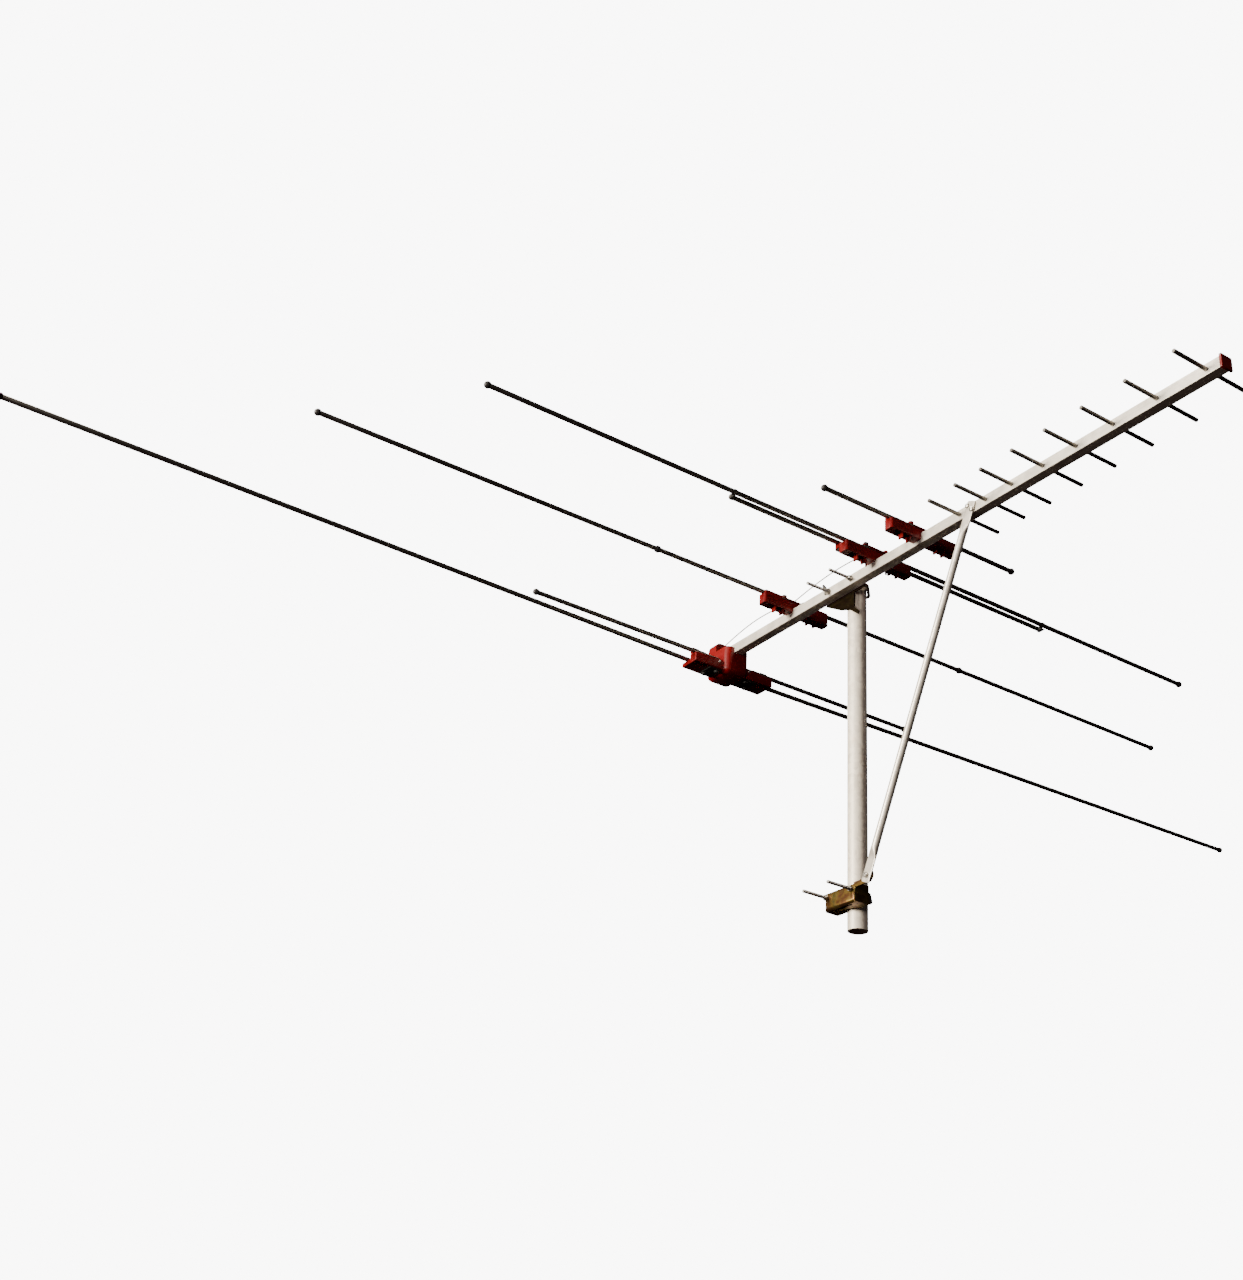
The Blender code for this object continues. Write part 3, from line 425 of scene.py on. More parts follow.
def rolled_block(low, high, roll):
    """A block whose left edges, along Y and upright, are rolled over as a pressing's are."""
    bm = cube(low, high)
    left = [e for e in bm.edges if all(v.co.x < (low.x + high.x) / 2 for v in e.verts)]
    bmesh.ops.bevel(bm, geom=left, offset=roll, segments=6, profile=0.5, affect="EDGES")
    return shaded("block", bm)


def cad_copy(name):
    """A fresh mesh of a frame node, with its flat faces made whole again."""
    bm = bmesh.new()
    bm.from_mesh(frame["nodes"][name].data)
    bmesh.ops.remove_doubles(bm, verts=bm.verts, dist=0.000002)
    bmesh.ops.dissolve_limit(bm, angle_limit=math.radians(1), verts=bm.verts, edges=bm.edges)
    return shaded(name, bm)


def carved(base, steps):
    """A mesh after a list of (operation, mesh) Boolean steps, worked out once."""
    scratch = []
    for mesh in [base] + [mesh for _, mesh in steps]:
        scratch.append(bpy.data.objects.new("scratch", mesh))
        bpy.context.scene.collection.objects.link(scratch[-1])
    for (operation, _), tool in zip(steps, scratch[1:]):
        step = scratch[0].modifiers.new(operation, "BOOLEAN")
        step.operation = operation
        step.solver = "EXACT"
        step.object = tool
    shaped = scratch[0].evaluated_get(bpy.context.evaluated_depsgraph_get())
    result = bpy.data.meshes.new_from_object(shaped)
    for obj in scratch:
        bpy.data.objects.remove(obj, do_unlink=True)
    result.shade_smooth()
    result.set_sharp_from_angle(angle=math.radians(SHARP_ANGLE))
    return result


def merged(meshes):
    """Several separate solids in one mesh."""
    bm = bmesh.new()
    for mesh in meshes:
        bm.from_mesh(mesh)
    return shaded("merged", bm)


def hoop(along, radius, sides):
    """A round ring about local X."""
    turns = [math.tau * k / sides for k in range(sides)]
    return [(along, radius * math.cos(a), radius * math.sin(a)) for a in turns]


def turned(profile, sides=40):
    """A turned solid about local X. The profile is (along, radius) from one end to the other."""
    return loft([hoop(along, radius, sides) for along, radius in profile])


def ball(radius, centre, start_deg, end_deg, steps):
    """Part of a ball's outline as (along, radius), from a start to an end angle off the X axis."""
    turns = [math.radians(start_deg + (end_deg - start_deg) * k / steps) for k in range(steps + 1)]
    return [(centre + radius * math.cos(a), max(radius * math.sin(a), 0.00005)) for a in turns]


def smooth_step(t):
    t = min(max(t, 0.0), 1.0)
    return t * t * (3 - 2 * t)


def stepped(start, end, steps):
    """Evenly spaced places after a start, up to and with the end."""
    return [start + (end - start) * k / steps for k in range(1, steps + 1)]


def superellipse(half_wide, half_high, power):
    """A ring between a round section (power 2) and a flat one with rounded edges (a high power)."""
    sides = 36
    ring = []
    for k in range(sides):
        a = math.tau * k / sides
        c, s = math.cos(a), math.sin(a)
        y = math.copysign(abs(c) ** (2 / power), c) * half_wide
        z = math.copysign(abs(s) ** (2 / power), s) * half_high
        ring.append((y, z))
    return ring


# ------------------------------------------------------------------ folding rods


Half = namedtuple("Half", "station side body pivot heading length radius")


def read_half(station, side):
    """Where one half of a rod pair lies: its pin, direction and tube length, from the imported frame."""
    body = f"half_{station}_{side}"
    pivot = Vector(JOINTS[f"fold_{station}_{side}"]["pos_m"])
    low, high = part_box(f"tip_cap_{station}_{side}")
    middle = (low + high) / 2
    heading = Vector((middle.x - pivot.x, middle.y - pivot.y, 0.0))
    length = heading.length + (high - low).x / 2 - BALL_RADIUS - BALL_CENTRE
    rod_low, rod_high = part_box(f"rod_{station}_{side}")
    radius = (rod_high - rod_low).z / 2
    return Half(station, side, body, pivot, heading.normalized(), length, radius)


def lie_along(half):
    """The matrix from a rod's own frame, +X from pin to tip, to the antenna's."""
    turn = math.atan2(half.heading.y, half.heading.x)
    return Matrix.Translation(half.pivot) @ Matrix.Rotation(turn, 4, "Z")


def rod_rings(half, path, rise):
    """Sections of a rod with a flat tab at its pin end. path(x) gives how far it has stepped sideways."""
    radius = half.radius
    places = [-TAB_NOSE + 0.0004, -TAB_NOSE + 0.0012, -TAB_NOSE + 0.003, 0.0, 0.006, 0.012, 0.018, TAB_FLAT]
    places += stepped(TAB_FLAT, TAB_ROUND, 8)
    places += [CRIMP_START, (CRIMP_START + CRIMP_END) / 2, CRIMP_END, CRIMP_END + 0.003]
    places += stepped(places[-1], half.length - 0.001, 6) + [half.length]
    nose = {0: 0.55, 1: 0.80, 2: 0.97}
    rings = []
    for number, x in enumerate(places):
        t = smooth_step((x - TAB_FLAT) / (TAB_ROUND - TAB_FLAT))
        wide = radius * (TAB_WIDENING * (1 - t) + t) * nose.get(number, 1.0)
        high = TAB_HALF * (1 - t) + radius * t
        crimp = 0.90 if CRIMP_START < x < CRIMP_END and not rise else 1.0
        end = 0.93 if x == half.length else 1.0
        section = superellipse(wide * crimp * end, high * crimp * end, 2 + 4 * (1 - t))
        rings.append([(x, y + path(x), z + rise * (1 - t)) for y, z in section])
    return rings


def make_rod(half):
    mesh = shaded("rod", loft(rod_rings(half, lambda x: 0.0, 0.0)))
    name = f"{half.station}_{half.side}"
    add_piece(f"smooth_rod_{name}", mesh, PAINTED_SHADE_ALUMINIUM_ROD, half.body, [f"rod_{name}"], lie_along(half))


def make_tip_cap(half):
    """A push-on ball with a skirt inside the tube, a moulding line and a gate mark at its tip."""
    neck = math.degrees(math.acos((PLATE_GAP - BALL_CENTRE) / BALL_RADIUS))
    skirt = half.radius - SKIRT_DEPTH
    profile = [(-SKIRT_LENGTH, skirt), (-0.0005, skirt)]
    profile += list(reversed(ball(BALL_RADIUS, BALL_CENTRE, 84, neck, 12)))
    profile += [(BALL_CENTRE + 0.0004, BALL_RADIUS + 0.00012)]
    profile += [(BALL_CENTRE + 0.0008, BALL_RADIUS - 0.0001)]
    profile += list(reversed(ball(BALL_RADIUS, BALL_CENTRE, 12, 76, 10)))
    profile += [(BALL_CENTRE + BALL_RADIUS - 0.0002, 0.0011), (BALL_CENTRE + BALL_RADIUS, 0.0009)]
    profile += [(BALL_CENTRE + BALL_RADIUS, 0.0001)]
    name = f"tip_cap_{half.station}_{half.side}"
    place = lie_along(half) @ Matrix.Translation((half.length, 0, 0))
    add_piece(f"ball_{name}", shaded("tip_cap", turned(profile), 50), BLACK, half.body, [name], place)


def make_collar(half):
    """The round collar part of the way along a half of C."""
    name = f"collar_{half.station}_{half.side}"
    low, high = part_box(name)
    along = abs((low.x + high.x) / 2 - half.pivot.x)
    radius = (high - low).z / 2
    inside = half.radius + BORE_GAP
    reach = math.degrees(math.acos(inside / radius))
    half_wide = (high - low).x / 2
    steps = 12
    profile = [(-half_wide, inside)]
    for k in range(steps + 1):
        a = math.radians(-reach + 2 * reach * k / steps)
        profile.append((radius * math.sin(a) * 0.98, radius * math.cos(a)))
    profile.append((half_wide, inside))
    place = lie_along(half) @ Matrix.Translation((along, 0, 0))
    add_piece(f"moulded_{name}", shaded("collar", turned(profile), 50), BLACK, half.body, [name], place)


def companion_path(side):
    """How far the companion rod stands off to its side, x metres from the pin."""
    across = COMPANION_ACROSS * side
    return lambda x: across * smooth_step((x - 0.002) / 0.032)


def make_companion(half):
    name = f"{half.station}_{half.side}"
    low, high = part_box(f"companion_{name}")
    far = max(abs(low.x - half.pivot.x), abs(high.x - half.pivot.x))
    short = half._replace(length=far)
    sign = 1 if half.side == "right" else -1
    mesh = shaded("companion", loft(rod_rings(short, companion_path(sign), COMPANION_RISE)))
    place = lie_along(half)
    add_piece(f"smooth_companion_{name}", mesh, PAINTED_SHADE_ALUMINIUM_ROD, half.body, [f"companion_{name}"], place)


def make_clip(half):
    """The clip of the companion's tip: a waisted bar with each end hollowed round a rod's inner half."""
    name = f"clip_{half.station}_{half.side}"
    low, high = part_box(name)
    sign = 1 if half.side == "right" else -1
    start = abs((low if sign > 0 else high).x - half.pivot.x)
    end = abs((high if sign > 0 else low).x - half.pivot.x)
    outer = (high - low).z / 2
    middle = COMPANION_ACROSS / 2
    steps = 14
    outline = []
    for centre, first in ((0.0, 0), (COMPANION_ACROSS, -180)):
        for k in range(steps + 1):
            a = math.radians(first + 180 * k / steps)
            outline.append((centre + outer * math.sin(a), outer * math.cos(a)))
    near_end = ((start, 0.86), (start + 0.0008, 0.97), (start + 0.002, 1.0))
    far_end = ((end - 0.002, 1.0), (end - 0.0008, 0.97), (end, 0.86))
    rings = []
    for x, shrink in near_end + far_end:
        ring = []
        for y, z in outline:
            waist = 1 - 0.16 * math.exp(-(((y - middle) / 0.004) ** 2))
            ring.append((x, sign * (middle + (y - middle) * shrink), z * shrink * waist))
        rings.append(ring)
    add_piece(f"moulded_{name}", shaded("clip", loft(rings), 50), BLACK, half.body, [name], lie_along(half))


def make_halves():
    for station in "abcde":
        for side in SIDES:
            half = read_half(station, side)
            make_rod(half)
            make_tip_cap(half)
            if station == "c":
                make_collar(half)
            if station == "d":
                make_companion(half)
                make_clip(half)


# ------------------------------------------------------------------ directors


def make_directors():
    """Solid rods through the boom, with chamfered ends and a pinched bulge on either side of the boom."""
    for number in range(1, 9):
        name = f"director_{number}"
        low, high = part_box(name)
        radius = (high - low).z / 2
        reach = (high - low).x / 2
        boom_low, boom_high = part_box("boom")
        edge = (boom_high - boom_low).x / 2
        pinch = radius * 1.05
        half_profile = [(edge + 0.0006, radius), (edge + 0.0014, pinch)]
        half_profile += [(edge + 0.0030, pinch), (edge + 0.0040, radius)]
        half_profile += [(reach - 0.0007, radius), (reach - 0.0001, radius * 0.84), (reach, radius * 0.8)]
        profile = [(-x, r) for x, r in reversed(half_profile)] + half_profile
        mesh = shaded("director", turned(profile, 36))
        place = Matrix.Translation((low + high) / 2)
        add_piece(f"smooth_{name}", mesh, PAINTED_SHADE_ALUMINIUM_ROD, FIXED, [name], place)


# ------------------------------------------------------------------ clamps and brace


def bolt_facts(name):
    """A V-bolt's leg spread, leg end, apex before its bend is rounded, and height, from its box."""
    low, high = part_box(name)
    rounded_off = BOLT_TIP_BEND * (math.sqrt(2) - 1)
    return high.y - BOLT_RADIUS, low.x, high.x - BOLT_RADIUS + rounded_off, (low.z + high.z) / 2


def arc_corner(before, at, after, radius):
    """A rounded corner of a path, as points of an arc."""
    steps = 10
    back = (before - at).normalized()
    on = (after - at).normalized()
    half = back.angle(on) / 2
    centre = at + (back + on).normalized() * radius / math.sin(half)
    start = at + back * radius / math.tan(half) - centre
    normal = on.cross(back).normalized()
    turn = math.pi - 2 * half
    return [centre + Matrix.Rotation(turn * k / steps, 3, normal) @ start for k in range(steps + 1)]


def thread(along, turn, length):
    """A bolt's radius where its thread is cut: a triangular ridge that fades out at the smooth bar."""
    phase = (along / THREAD_PITCH - turn / math.tau) % 1.0
    depth = THREAD_DEPTH * abs(2 * phase - 1)
    lead_in = LEG_CHAMFER_DEPTH * max(0.0, 1 - along / LEG_CHAMFER)
    return BOLT_RADIUS - depth * min(1.0, (length - along) / THREAD_FADE) - lead_in


def threaded_leg(end_x, y, z, start_x):
    """One straight leg of a V-bolt, from its chamfered end, with the thread cut over its first part."""
    length = abs(start_x - end_x)
    threaded = min(THREAD_LENGTH, length - 0.004)
    steps = ROUNDS_PER_PITCH * int(threaded / THREAD_PITCH)
    places = [threaded * k / steps for k in range(steps + 1)]
    rings = []
    for along in places + [length]:
        ring = []
        for k in range(BAR_SIDES):
            turn = math.tau * k / BAR_SIDES
            radius = thread(along, turn, threaded) if along <= threaded else BOLT_RADIUS
            ring.append((end_x + along, y + radius * math.cos(turn), z + radius * math.sin(turn)))
        rings.append(ring)
    return shaded("leg", loft(rings), 50)


def bent_bar(path, radius):
    """A round bar along a level path."""
    turns = [math.tau * n / BAR_SIDES for n in range(BAR_SIDES)]
    rings = []
    for k, point in enumerate(path):
        ahead = path[min(k + 1, len(path) - 1)] - path[max(k - 1, 0)]
        across = ahead.cross(Vector((0, 0, 1))).normalized() * radius
        rings.append([point + across * math.cos(a) + Vector((0, 0, radius * math.sin(a))) for a in turns])
    return shaded("bar", loft(rings), 50)


def make_v_bolt(name):
    """A rolled-thread V-bolt: smooth round the mast, threaded along both legs."""
    spread, end_x, apex, z = bolt_facts(name)
    bend_x = apex - spread
    tip = Vector((apex, 0, z))
    joint_x = bend_x - BOLT_LEG_BEND / 2
    front, rear = Vector((joint_x, -spread, z)), Vector((joint_x, spread, z))
    front_bend, rear_bend = Vector((bend_x, -spread, z)), Vector((bend_x, spread, z))
    path = [front] + arc_corner(front, front_bend, tip, BOLT_LEG_BEND)
    path += arc_corner(front_bend, tip, rear_bend, BOLT_TIP_BEND)
    path += arc_corner(tip, rear_bend, rear, BOLT_LEG_BEND) + [rear]
    meshes = [bent_bar(path, BOLT_RADIUS)]
    meshes += [threaded_leg(end_x, y, z, joint_x + 0.0005) for y in (-spread, spread)]
    add_piece(f"threaded_{name}", merged(meshes), PLATED, FIXED, [name])


def hexagon(apothem, clip):
    """A hexagon's outline whose corners stop at a circle, as a nut's chamfer cuts them."""
    ring = []
    for k in range(NUT_SIDES):
        turn = math.tau * k / NUT_SIDES
        flat = apothem / math.cos((turn % (math.pi / 3)) - math.pi / 6)
        radius = min(flat, clip)
        ring.append((radius * math.cos(turn), radius * math.sin(turn)))
    return ring


def hex_nut(apothem, thickness, bore):
    """A chamfered hexagon nut on local X with a countersunk bore."""
    corner = apothem / math.cos(math.pi / 6)
    sections = ((0.0, apothem * 0.97), (0.0004, corner * 0.96), (0.0009, corner))
    rings = []
    for x, clip in sections + tuple((thickness - x, clip) for x, clip in reversed(sections)):
        rings.append([(x, y, z) for y, z in hexagon(apothem, clip)])
    sink = 0.0004
    for x, radius in ((thickness, bore + sink), (thickness - sink, bore), (sink, bore), (0.0, bore + sink)):
        rings.append(hoop(x, radius, NUT_SIDES))
    return shaded("nut", loft(rings, closed=True), 30)


def make_clamp_nut(name, side):
    low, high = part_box(name)
    spread, _, _, z = bolt_facts("lower_v_bolt")
    apothem = (high - low).y / 2 * math.cos(math.pi / 6)
    place = Matrix.Translation((low.x, side * spread, z))
    nut = hex_nut(min(apothem, (high - low).z / 2), high.x - low.x, BOLT_RADIUS + BORE_GAP)
    add_piece(f"chamfered_{name}", nut, PLATED, FIXED, [name], place)


def wing_outline():
    """One ear of a wing nut in its own plane: out from the hub, up, over a round tip and back down."""
    tip_radius = 0.0032
    steps = 8
    outline = [(-0.0010, 0.0030), (-0.0030, 0.0060), (-0.0062, 0.0092)]
    for k in range(steps + 1):
        turn = math.radians(-60 + 210 * k / steps)
        outline.append((-0.0105 - tip_radius * math.sin(turn), 0.0093 + tip_radius * math.cos(turn)))
    outline += [(-0.0098, 0.0052), (-0.0078, 0.0030)]
    return outline


def make_wing_nut(name, side, tilt_deg):
    """A pressed wing nut: a coned hub with a bore, and two ears that sweep out from it."""
    _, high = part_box(name)
    spread, _, _, z = bolt_facts("upper_v_bolt")
    bore = BOLT_RADIUS + BORE_GAP
    profile = [(0.0, 0.0058), (-0.0016, 0.0058), (-0.0022, 0.0054), (-0.0074, 0.0046), (-0.0080, 0.0042)]
    profile += [(-0.0080, bore + 0.0003), (-0.0077, bore), (-0.0003, bore), (0.0, bore + 0.0003)]
    meshes = [shaded("hub", loft([hoop(x, radius, 40) for x, radius in profile], closed=True))]
    outline = [Vector(point) for point in wing_outline()]
    root, tip = outline[1], outline[6]
    middle = (root + tip) / 2
    for flip in (1, -1):
        rings = []
        for offset, shrink in ((-0.0013, 0.93), (-0.0009, 1.0), (0.0009, 1.0), (0.0013, 0.93)):
            points = [middle + (point - middle) * shrink for point in outline]
            rings.append([(x, flip * y, offset) for x, y in points])
        meshes.append(shaded("ear", loft(rings)))
    place = Matrix.Translation((high.x, side * spread, z)) @ Matrix.Rotation(math.radians(tilt_deg), 4, "X")
    add_piece(f"pressed_{name}", merged(meshes), PLATED, FIXED, [name], place)


def middle_of(name):
    low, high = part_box(name)
    return (low + high) / 2


def make_brace():
    """A round tube whose ends are pressed flat, with rolled edges and a soft change of section."""
    foot = middle_of("brace_foot_bolt")
    top = (middle_of("brace_screw_upper") + middle_of("brace_screw_lower")) / 2
    low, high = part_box("brace")
    radius = (high - low).x / 2
    x = (low.x + high.x) / 2
    foot.x = top.x = x
    run = top - foot
    length = run.length
    trims = {0: 0.72, 1: 0.90}
    places = [-BRACE_OVERHANG, 0.0006 - BRACE_OVERHANG, 0.003 - BRACE_OVERHANG, 0.0, 0.014, BRACE_FLAT_END]
    places += stepped(BRACE_FLAT_END, BRACE_ROUND_START, 8)
    places += [length * k / 8 for k in range(2, 5)]
    places += [length - place for place in reversed(places[:-1])]
    rings = []
    for number, place in enumerate(places):
        from_end = min(place, length - place)
        t = smooth_step((from_end - BRACE_FLAT_END) / (BRACE_ROUND_START - BRACE_FLAT_END))
        trim = trims.get(min(number, len(places) - 1 - number), 1.0)
        wide = radius * (BRACE_WIDENING * (1 - t) + t) * trim
        high_half = BRACE_FLAT / 2 * (1 - t) + radius * t
        section = superellipse(wide, high_half, 2 + 4 * (1 - t))
        rings.append([(depth, across, place) for across, depth in section])
    lie = Matrix.Translation(foot) @ Matrix.Rotation(math.atan2(-run.y, run.z), 4, "X")
    add_piece("pressed_brace", shaded("brace", loft(rings)), ALUMINIUM_BRACE, FIXED, ["brace"], lie)


def make_brace_screws():
    """Pan-head screws with a cross recess, at the brace's top."""
    for name in ("brace_screw_upper", "brace_screw_lower"):
        low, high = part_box(name)
        radius = (high - low).z / 2
        middle = (low + high) / 2
        under_head = low.x + SCREW_HEAD_HEIGHT
        rim = low.x + SCREW_RIM
        profile = [(high.x, 0.0008), (high.x - 0.0012, 0.0022), (under_head, SCREW_SHANK)]
        profile += [(under_head, radius), (rim, radius)]
        for a in (20, 40, 60, 75):
            turn = math.radians(a)
            profile.append((rim - (rim - low.x) * math.sin(turn), radius * math.cos(turn)))
        profile += [(low.x, 0.0006)]
        screw = shaded("screw", turned(profile, 32))
        arms = []
        for y, z in ((CROSS_REACH, CROSS_HALF), (CROSS_HALF, CROSS_REACH)):
            arm = rounded_box((low.x - 0.002, -y, -z), (low.x + CROSS_DEPTH, y, z), 0.0002, 0.0001)
            arms.append(("DIFFERENCE", arm))
        place = Matrix.Translation((0, middle.y, middle.z)) @ Matrix.Rotation(math.radians(28), 4, "X")
        add_piece(f"cross_{name}", carved(screw, arms), PLATED, FIXED, [name], place)


def make_foot_bolt():
    """A chamfered hexagon bolt with its nut, at the brace's foot."""
    low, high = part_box("brace_foot_bolt")
    middle = (low + high) / 2
    length = high.x - low.x
    apothem = (high - low).y / 2 * math.cos(math.pi / 6)
    head = hex_nut(apothem, FOOT_NUT_THICKNESS, 0.0010)
    nut = hex_nut(apothem, FOOT_NUT_THICKNESS, FOOT_SHANK_RADIUS)
    nut.transform(Matrix.Translation((length - 0.0025 - FOOT_NUT_THICKNESS, 0, 0)))
    profile = [(0.0008, FOOT_SHANK_RADIUS), (length - 0.0005, FOOT_SHANK_RADIUS), (length, 0.0021)]
    shank = shaded("shank", turned(profile, 24))
    place = Matrix.Translation((low.x, middle.y, middle.z))
    add_piece("chamfered_foot_bolt", merged([head, nut, shank]), PLATED, FIXED, ["brace_foot_bolt"], place)


def make_pressed_plates():
    """The mast plate and the saddle, with the rolled edges that pressed steel has."""
    plate = cad_copy("mast_bracket")
    # the mast plate's finish is painted shade: its yellow zinc darkened almost to black
    soften(add_piece("pressed_mast_bracket", plate, PAINTED_SHADE_CHROMATE, FIXED, ["mast_bracket"]), 0.0006)
    low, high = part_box("lower_saddle")
    body_high = Vector((high.x, high.y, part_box("lower_v_bolt")[1].z + SADDLE_ABOVE_BOLT))
    body_low = Vector((low.x, -body_high.y, low.z))
    body = rolled_block(body_low, body_high, SADDLE_ROLL)
    margin = 0.001
    lug_low = Vector((low.x - margin, low.y - margin, low.z - margin))
    lug = cube(lug_low, Vector((low.x + LUG_THICKNESS, body_low.y + 0.003, high.z + margin)))
    envelope = carved(body, [("UNION", shaded("lug", lug))])
    saddle = carved(cad_copy("lower_saddle"), [("INTERSECT", envelope)])
    soften(add_piece("pressed_lower_saddle", saddle, CHROMATE, FIXED, ["lower_saddle"]), 0.0006)


# ------------------------------------------------------------------ insulators


def make_insulator(station):
    """A moulding with rounded wing ends and grip grooves on its faces, but for the smooth left wing of C."""
    name = f"insulator_{station}"
    low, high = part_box(name)
    pin = JOINTS[f"fold_{station}_right"]["pos_m"]
    middle_x = (low.x + high.x) / 2
    envelope = rounded_box(low - Vector((0, 0, 0.01)), high + Vector((0, 0, 0.01)), WING_CORNER, 0.0001)
    steps = [("INTERSECT", envelope)]
    seat = pin[2] - ROD_SEAT
    grooved = (1,) if station == "c" else (-1, 1)
    for facing in (-1, 1):
        face = pin[1] + facing * WING_DEPTH
        for side in grooved:
            for k in range(GROOVES):
                x = middle_x + side * (GROOVE_START + GROOVE_STEP * k)
                groove_low = (x - GROOVE_HALF, face - GROOVE_DEPTH, seat - GROOVE_BOTTOM)
                groove_high = (x + GROOVE_HALF, face + GROOVE_DEPTH, seat - GROOVE_TOP)
                steps.append(("DIFFERENCE", rounded_box(groove_low, groove_high, 0.0005, 0.0002)))
    moulding = add_piece(f"moulded_{name}", carved(cad_copy(name), steps), RED, FIXED, [name])
    soften(moulding, 0.0005)


def make_rear_insulator():
    """The rear moulding, softened all over, with a rivet head on each wing beside its dome."""
    low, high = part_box("insulator_rear")
    middle_x = (low.x + high.x) / 2
    mesh = cad_copy("insulator_rear")
    soften(add_piece("moulded_insulator_rear", mesh, RED, FIXED, ["insulator_rear"]), 0.0008)
    profile = [(0.004, 0.0028), (0.0, 0.0030), (-0.0008, 0.0027), (-0.0015, 0.0018), (-0.0018, 0.0004)]
    turn = Matrix.Rotation(math.radians(90), 4, "Z")
    rivets = []
    for side in (-1, 1):
        rivet = shaded("rivet", turned(profile, 24))
        rivet.transform(Matrix.Translation((middle_x + side * RIVET_REACH, REAR_FACE_Y, RIVET_Z)) @ turn)
        rivets.append(rivet)
    add_piece("rear_insulator_rivets", merged(rivets), PLATED, FIXED)


def fluted_knob():
    """A thumb knob on local Z: a narrower foot, a fluted grip and a domed top."""
    top = KNOB_HEIGHT
    rows = ((0.0, 0.86, 0.0), (0.0006, 0.90, 0.3), (0.0014, 0.98, 1.0), (top - 0.0020, 1.0, 1.0))
    rows += ((top - 0.0012, 0.96, 0.7), (top - 0.0005, 0.80, 0.2))
    rows += ((top - 0.0001, 0.45, 0.0), (top, 0.05, 0.0))
    sides = KNOB_FLUTES * SIDES_PER_FLUTE
    rings = []
    for z, share, depth in rows:
        ring = []
        for k in range(sides):
            turn = math.tau * k / sides
            radius = KNOB_RADIUS * share * (1 - 0.07 * depth * (0.5 + 0.5 * math.cos(turn * KNOB_FLUTES)))
            ring.append((radius * math.cos(turn), radius * math.sin(turn), z))
        rings.append(ring)
    return shaded("knob", loft(rings), 40)


def make_pivot_strap(station, knob_finishes):
    """A strap with round ends over both tabs, a pin through each and a fluted knob on top."""
    name = f"pivot_strap_{station}"
    low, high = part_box(name)
    plate_low = Vector((low.x, low.y, high.z - KNOB_HEIGHT - STRAP_THICKNESS))
    plate_high = Vector((high.x, high.y, high.z - KNOB_HEIGHT))
    plate = rounded_box(plate_low, plate_high, STRAP_CORNER, 0.0004)
    pins = []
    for side, finish in zip(SIDES, knob_finishes):
        pin = Vector(JOINTS[f"fold_{station}_{side}"]["pos_m"])
        profile = [(0.0, STRAP_PIN_RADIUS), (plate_low.z - low.z + 0.0005, STRAP_PIN_RADIUS)]
        shaft = shaded("pin", turned(profile, 24))
        upright = Matrix.Rotation(math.radians(-90), 4, "Y")
        shaft.transform(Matrix.Translation((pin.x, pin.y, low.z)) @ upright)
        pins.append(shaft)
        place = Matrix.Translation((pin.x, pin.y, plate_high.z - 0.0002))
        add_piece(f"knob_{station}_{side}", fluted_knob(), finish, FIXED, (), place)
    add_piece(f"moulded_{name}", merged([plate] + pins), RED, FIXED, [name])


def make_rear_pivots():
    for side in SIDES:
        name = f"rear_pivot_{side}"
        soften(add_piece(f"moulded_{name}", cad_copy(name), BLACK, FIXED, [name]), 0.0004)


def make_front_cap():
    """The boom's front plug: a rounded rim and a shallow dish moulded into its face."""
    low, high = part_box("boom_front_cap")
    centre = (low + high) / 2
    reach = (high - low).x / 2 * 0.62
    dish_low = (centre.x - reach, low.y - 0.002, centre.z - reach)
    dish_high = (centre.x + reach, low.y + 0.0008, centre.z + reach)
    steps = [("DIFFERENCE", rounded_box(dish_low, dish_high, 0.0006, 0.0004))]
    cap = carved(cad_copy("boom_front_cap"), steps)
    soften(add_piece("moulded_front_cap", cap, RED, FIXED, ["boom_front_cap"]), 0.0004)


# ------------------------------------------------------------------ carried-over nodes


def finish_frame_nodes():
    """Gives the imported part's own meshes of the mast, boom and feeder their finishes."""
    carried = {"mast": GALVANISED, "boom": ALUMINIUM_BOOM, "feeder_rear": PLATED, "feeder_front": PLATED}
    for name, material in carried.items():
        obj = frame["nodes"][name]
        obj.data.materials.clear()
        obj.data.materials.append(material)


# ------------------------------------------------------------------ stage, light and camera


def make_stage():
    bm = bmesh.new()
    bmesh.ops.create_grid(bm, x_segments=1, y_segments=1, size=FLOOR_REACH)
    floor = bpy.data.objects.new("floor", shaded("floor", bm))
    floor.location = (0.0, 0.0, FLOOR_LEVEL)
    bpy.context.scene.collection.objects.link(floor)
    finish = Finish("pale_floor", 0.9, 0.0)
    tones = ((0.3, (0.80, 0.79, 0.78)), (0.7, (0.84, 0.83, 0.82)))
    finish.colour(finish.ramp(finish.noise(0.6, 3.0), tones))
    finish.shader.inputs["Emission Color"].default_value = (1.0, 0.99, 0.98, 1.0)
    finish.shader.inputs["Emission Strength"].default_value = FLOOR_GLOW
    soak_up_light(finish, (0.012, 0.008, 0.008))
    floor.data.materials.append(finish.material)


def soak_up_light(finish, colour):
    """Keeps a surface pale to the camera and dark to the lamps' bounce, as black card under a set does."""
    dark = finish.nodes.new("ShaderNodeBsdfDiffuse")
    dark.inputs["Color"].default_value = (*colour, 1.0)
    path = finish.nodes.new("ShaderNodeLightPath")
    mix = finish.nodes.new("ShaderNodeMixShader")
    finish.links.new(path.outputs["Is Camera Ray"], mix.inputs["Fac"])
    finish.links.new(dark.outputs["BSDF"], mix.inputs[1])
    finish.links.new(finish.shader.outputs["BSDF"], mix.inputs[2])
    finish.links.new(mix.outputs["Shader"], finish.nodes["Material Output"].inputs["Surface"])


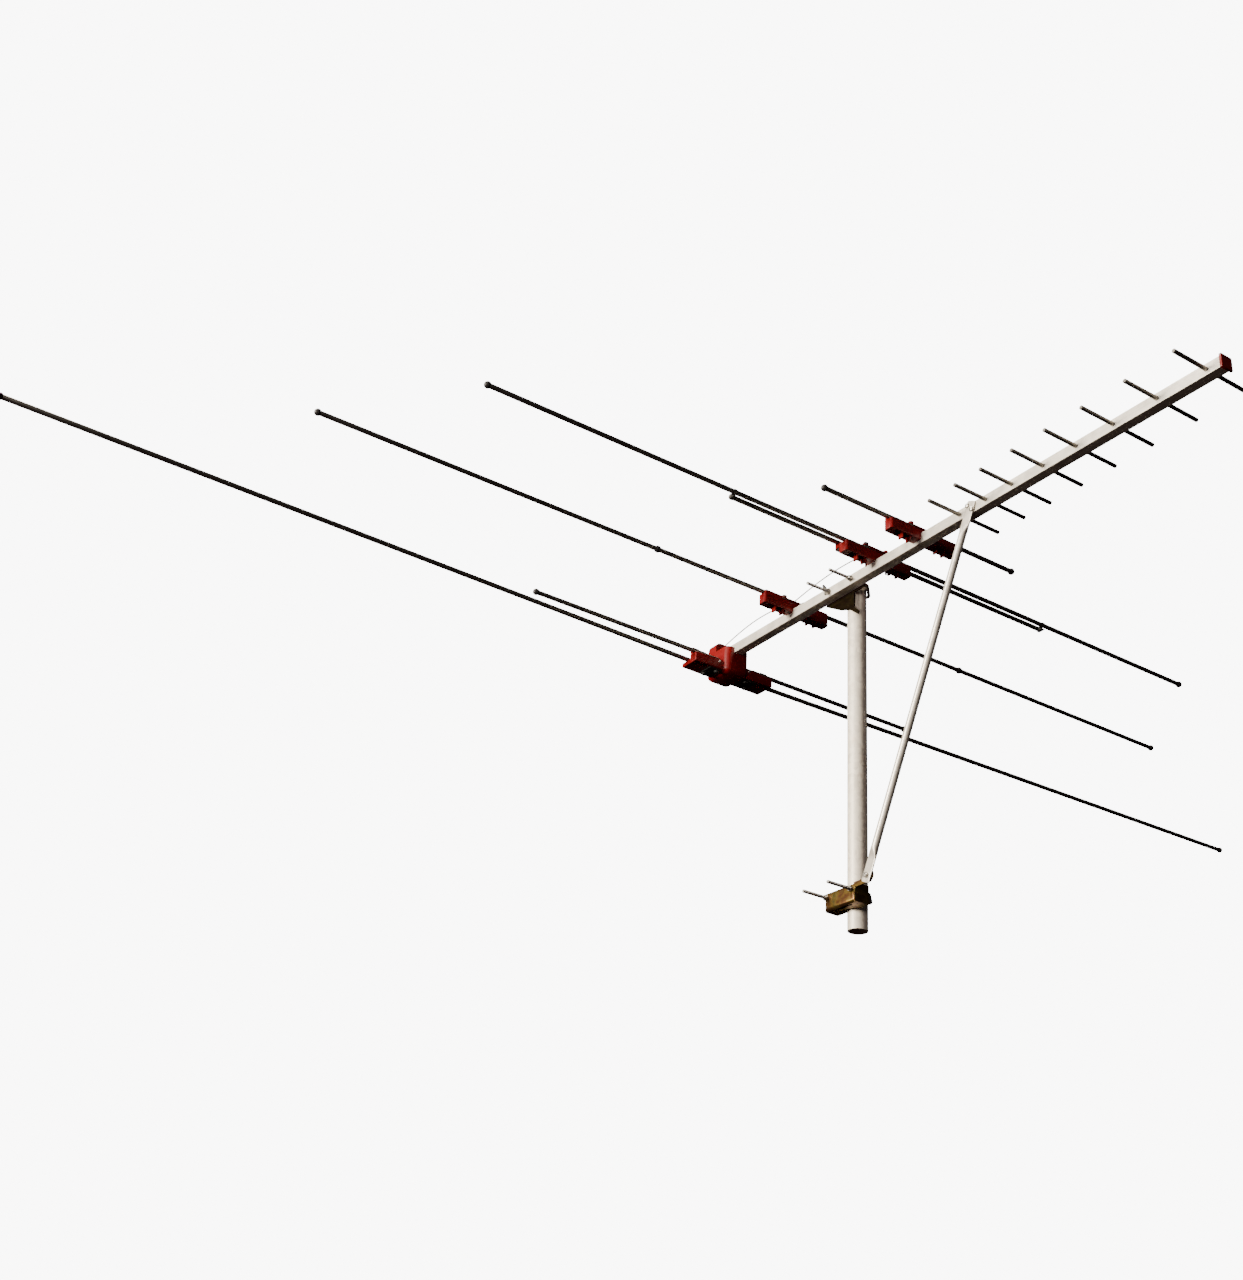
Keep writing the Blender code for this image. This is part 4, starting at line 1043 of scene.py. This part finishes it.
def make_world():
    """A near-white studio behind the antenna that lights it only dimly, so the lamps shape it."""
    world = bpy.data.worlds.new("studio")
    bpy.context.scene.world = world
    world.use_nodes = True
    nodes, links = world.node_tree.nodes, world.node_tree.links
    seen = nodes["Background"]
    seen.inputs["Color"].default_value = (1.0, 0.995, 0.99, 1.0)
    seen.inputs["Strength"].default_value = STUDIO_SEEN
    felt = nodes.new("ShaderNodeBackground")
    felt.inputs["Color"].default_value = (1.0, 0.90, 0.88, 1.0)
    felt.inputs["Strength"].default_value = STUDIO_FELT
    path = nodes.new("ShaderNodeLightPath")
    mix = nodes.new("ShaderNodeMixShader")
    links.new(path.outputs["Is Camera Ray"], mix.inputs["Fac"])
    links.new(felt.outputs["Background"], mix.inputs[1])
    links.new(seen.outputs["Background"], mix.inputs[2])
    links.new(mix.outputs["Shader"], nodes["World Output"].inputs["Surface"])


def add_lamp(name, place, aim, size, power, colour):
    data = bpy.data.lights.new(name, "AREA")
    data.size = size
    data.energy = power
    data.color = colour
    lamp = bpy.data.objects.new(name, data)
    lamp.location = place
    lamp.rotation_mode = "QUATERNION"
    lamp.rotation_quaternion = (Vector(aim) - Vector(place)).to_track_quat("-Z", "Y")
    bpy.context.scene.collection.objects.link(lamp)


def make_camera():
    data = bpy.data.cameras.new("camera")
    data.lens = CAMERA_LENS
    data.sensor_width = CAMERA_SENSOR
    camera = bpy.data.objects.new("camera", data)
    heading, pitch, roll = (math.radians(a) for a in (CAMERA_HEADING, CAMERA_PITCH, CAMERA_ROLL))
    share = math.cos(pitch)
    forward = Vector((math.sin(heading) * share, math.cos(heading) * share, math.sin(pitch)))
    level = Vector((math.cos(heading), -math.sin(heading), 0.0))
    upright = level.cross(forward)
    right = level * math.cos(roll) + upright * math.sin(roll)
    up = upright * math.cos(roll) - level * math.sin(roll)
    axes = Matrix((right, up, -forward)).transposed().to_4x4()
    camera.matrix_world = Matrix.Translation(CAMERA_PLACE) @ axes
    bpy.context.scene.collection.objects.link(camera)
    bpy.context.scene.camera = camera


make_camera()
make_stage()
make_world()
add_lamp("key", place=(-2.2, 1.0, 5.0), aim=LAMP_AIM, size=1.2, power=420.0, colour=(1.0, 0.93, 0.82))
add_lamp("side", place=(-5.4, 0.7, 1.0), aim=LAMP_AIM, size=1.4, power=900.0, colour=(1.0, 0.91, 0.77))
add_lamp("front", place=(-4.1, -3.6, 0.9), aim=(0.0, 0.0, 0.5), size=1.4, power=80.0, colour=(1.0, 0.9, 0.84))
finish_frame_nodes()
make_halves()
make_directors()
for bolt in ("upper_v_bolt", "lower_v_bolt"):
    make_v_bolt(bolt)
make_wing_nut("wing_nut_front", -1, 30)
make_wing_nut("wing_nut_rear", 1, 75)
make_clamp_nut("clamp_nut_front", -1)
make_clamp_nut("clamp_nut_rear", 1)
make_brace()
make_brace_screws()
make_foot_bolt()
make_pressed_plates()
for row in "cde":
    make_insulator(row)
make_rear_insulator()
make_pivot_strap("c", (BROWN, BROWN))
make_pivot_strap("d", (BLACK, RED))
make_pivot_strap("e", (RED, RED))
make_rear_pivots()
make_front_cap()
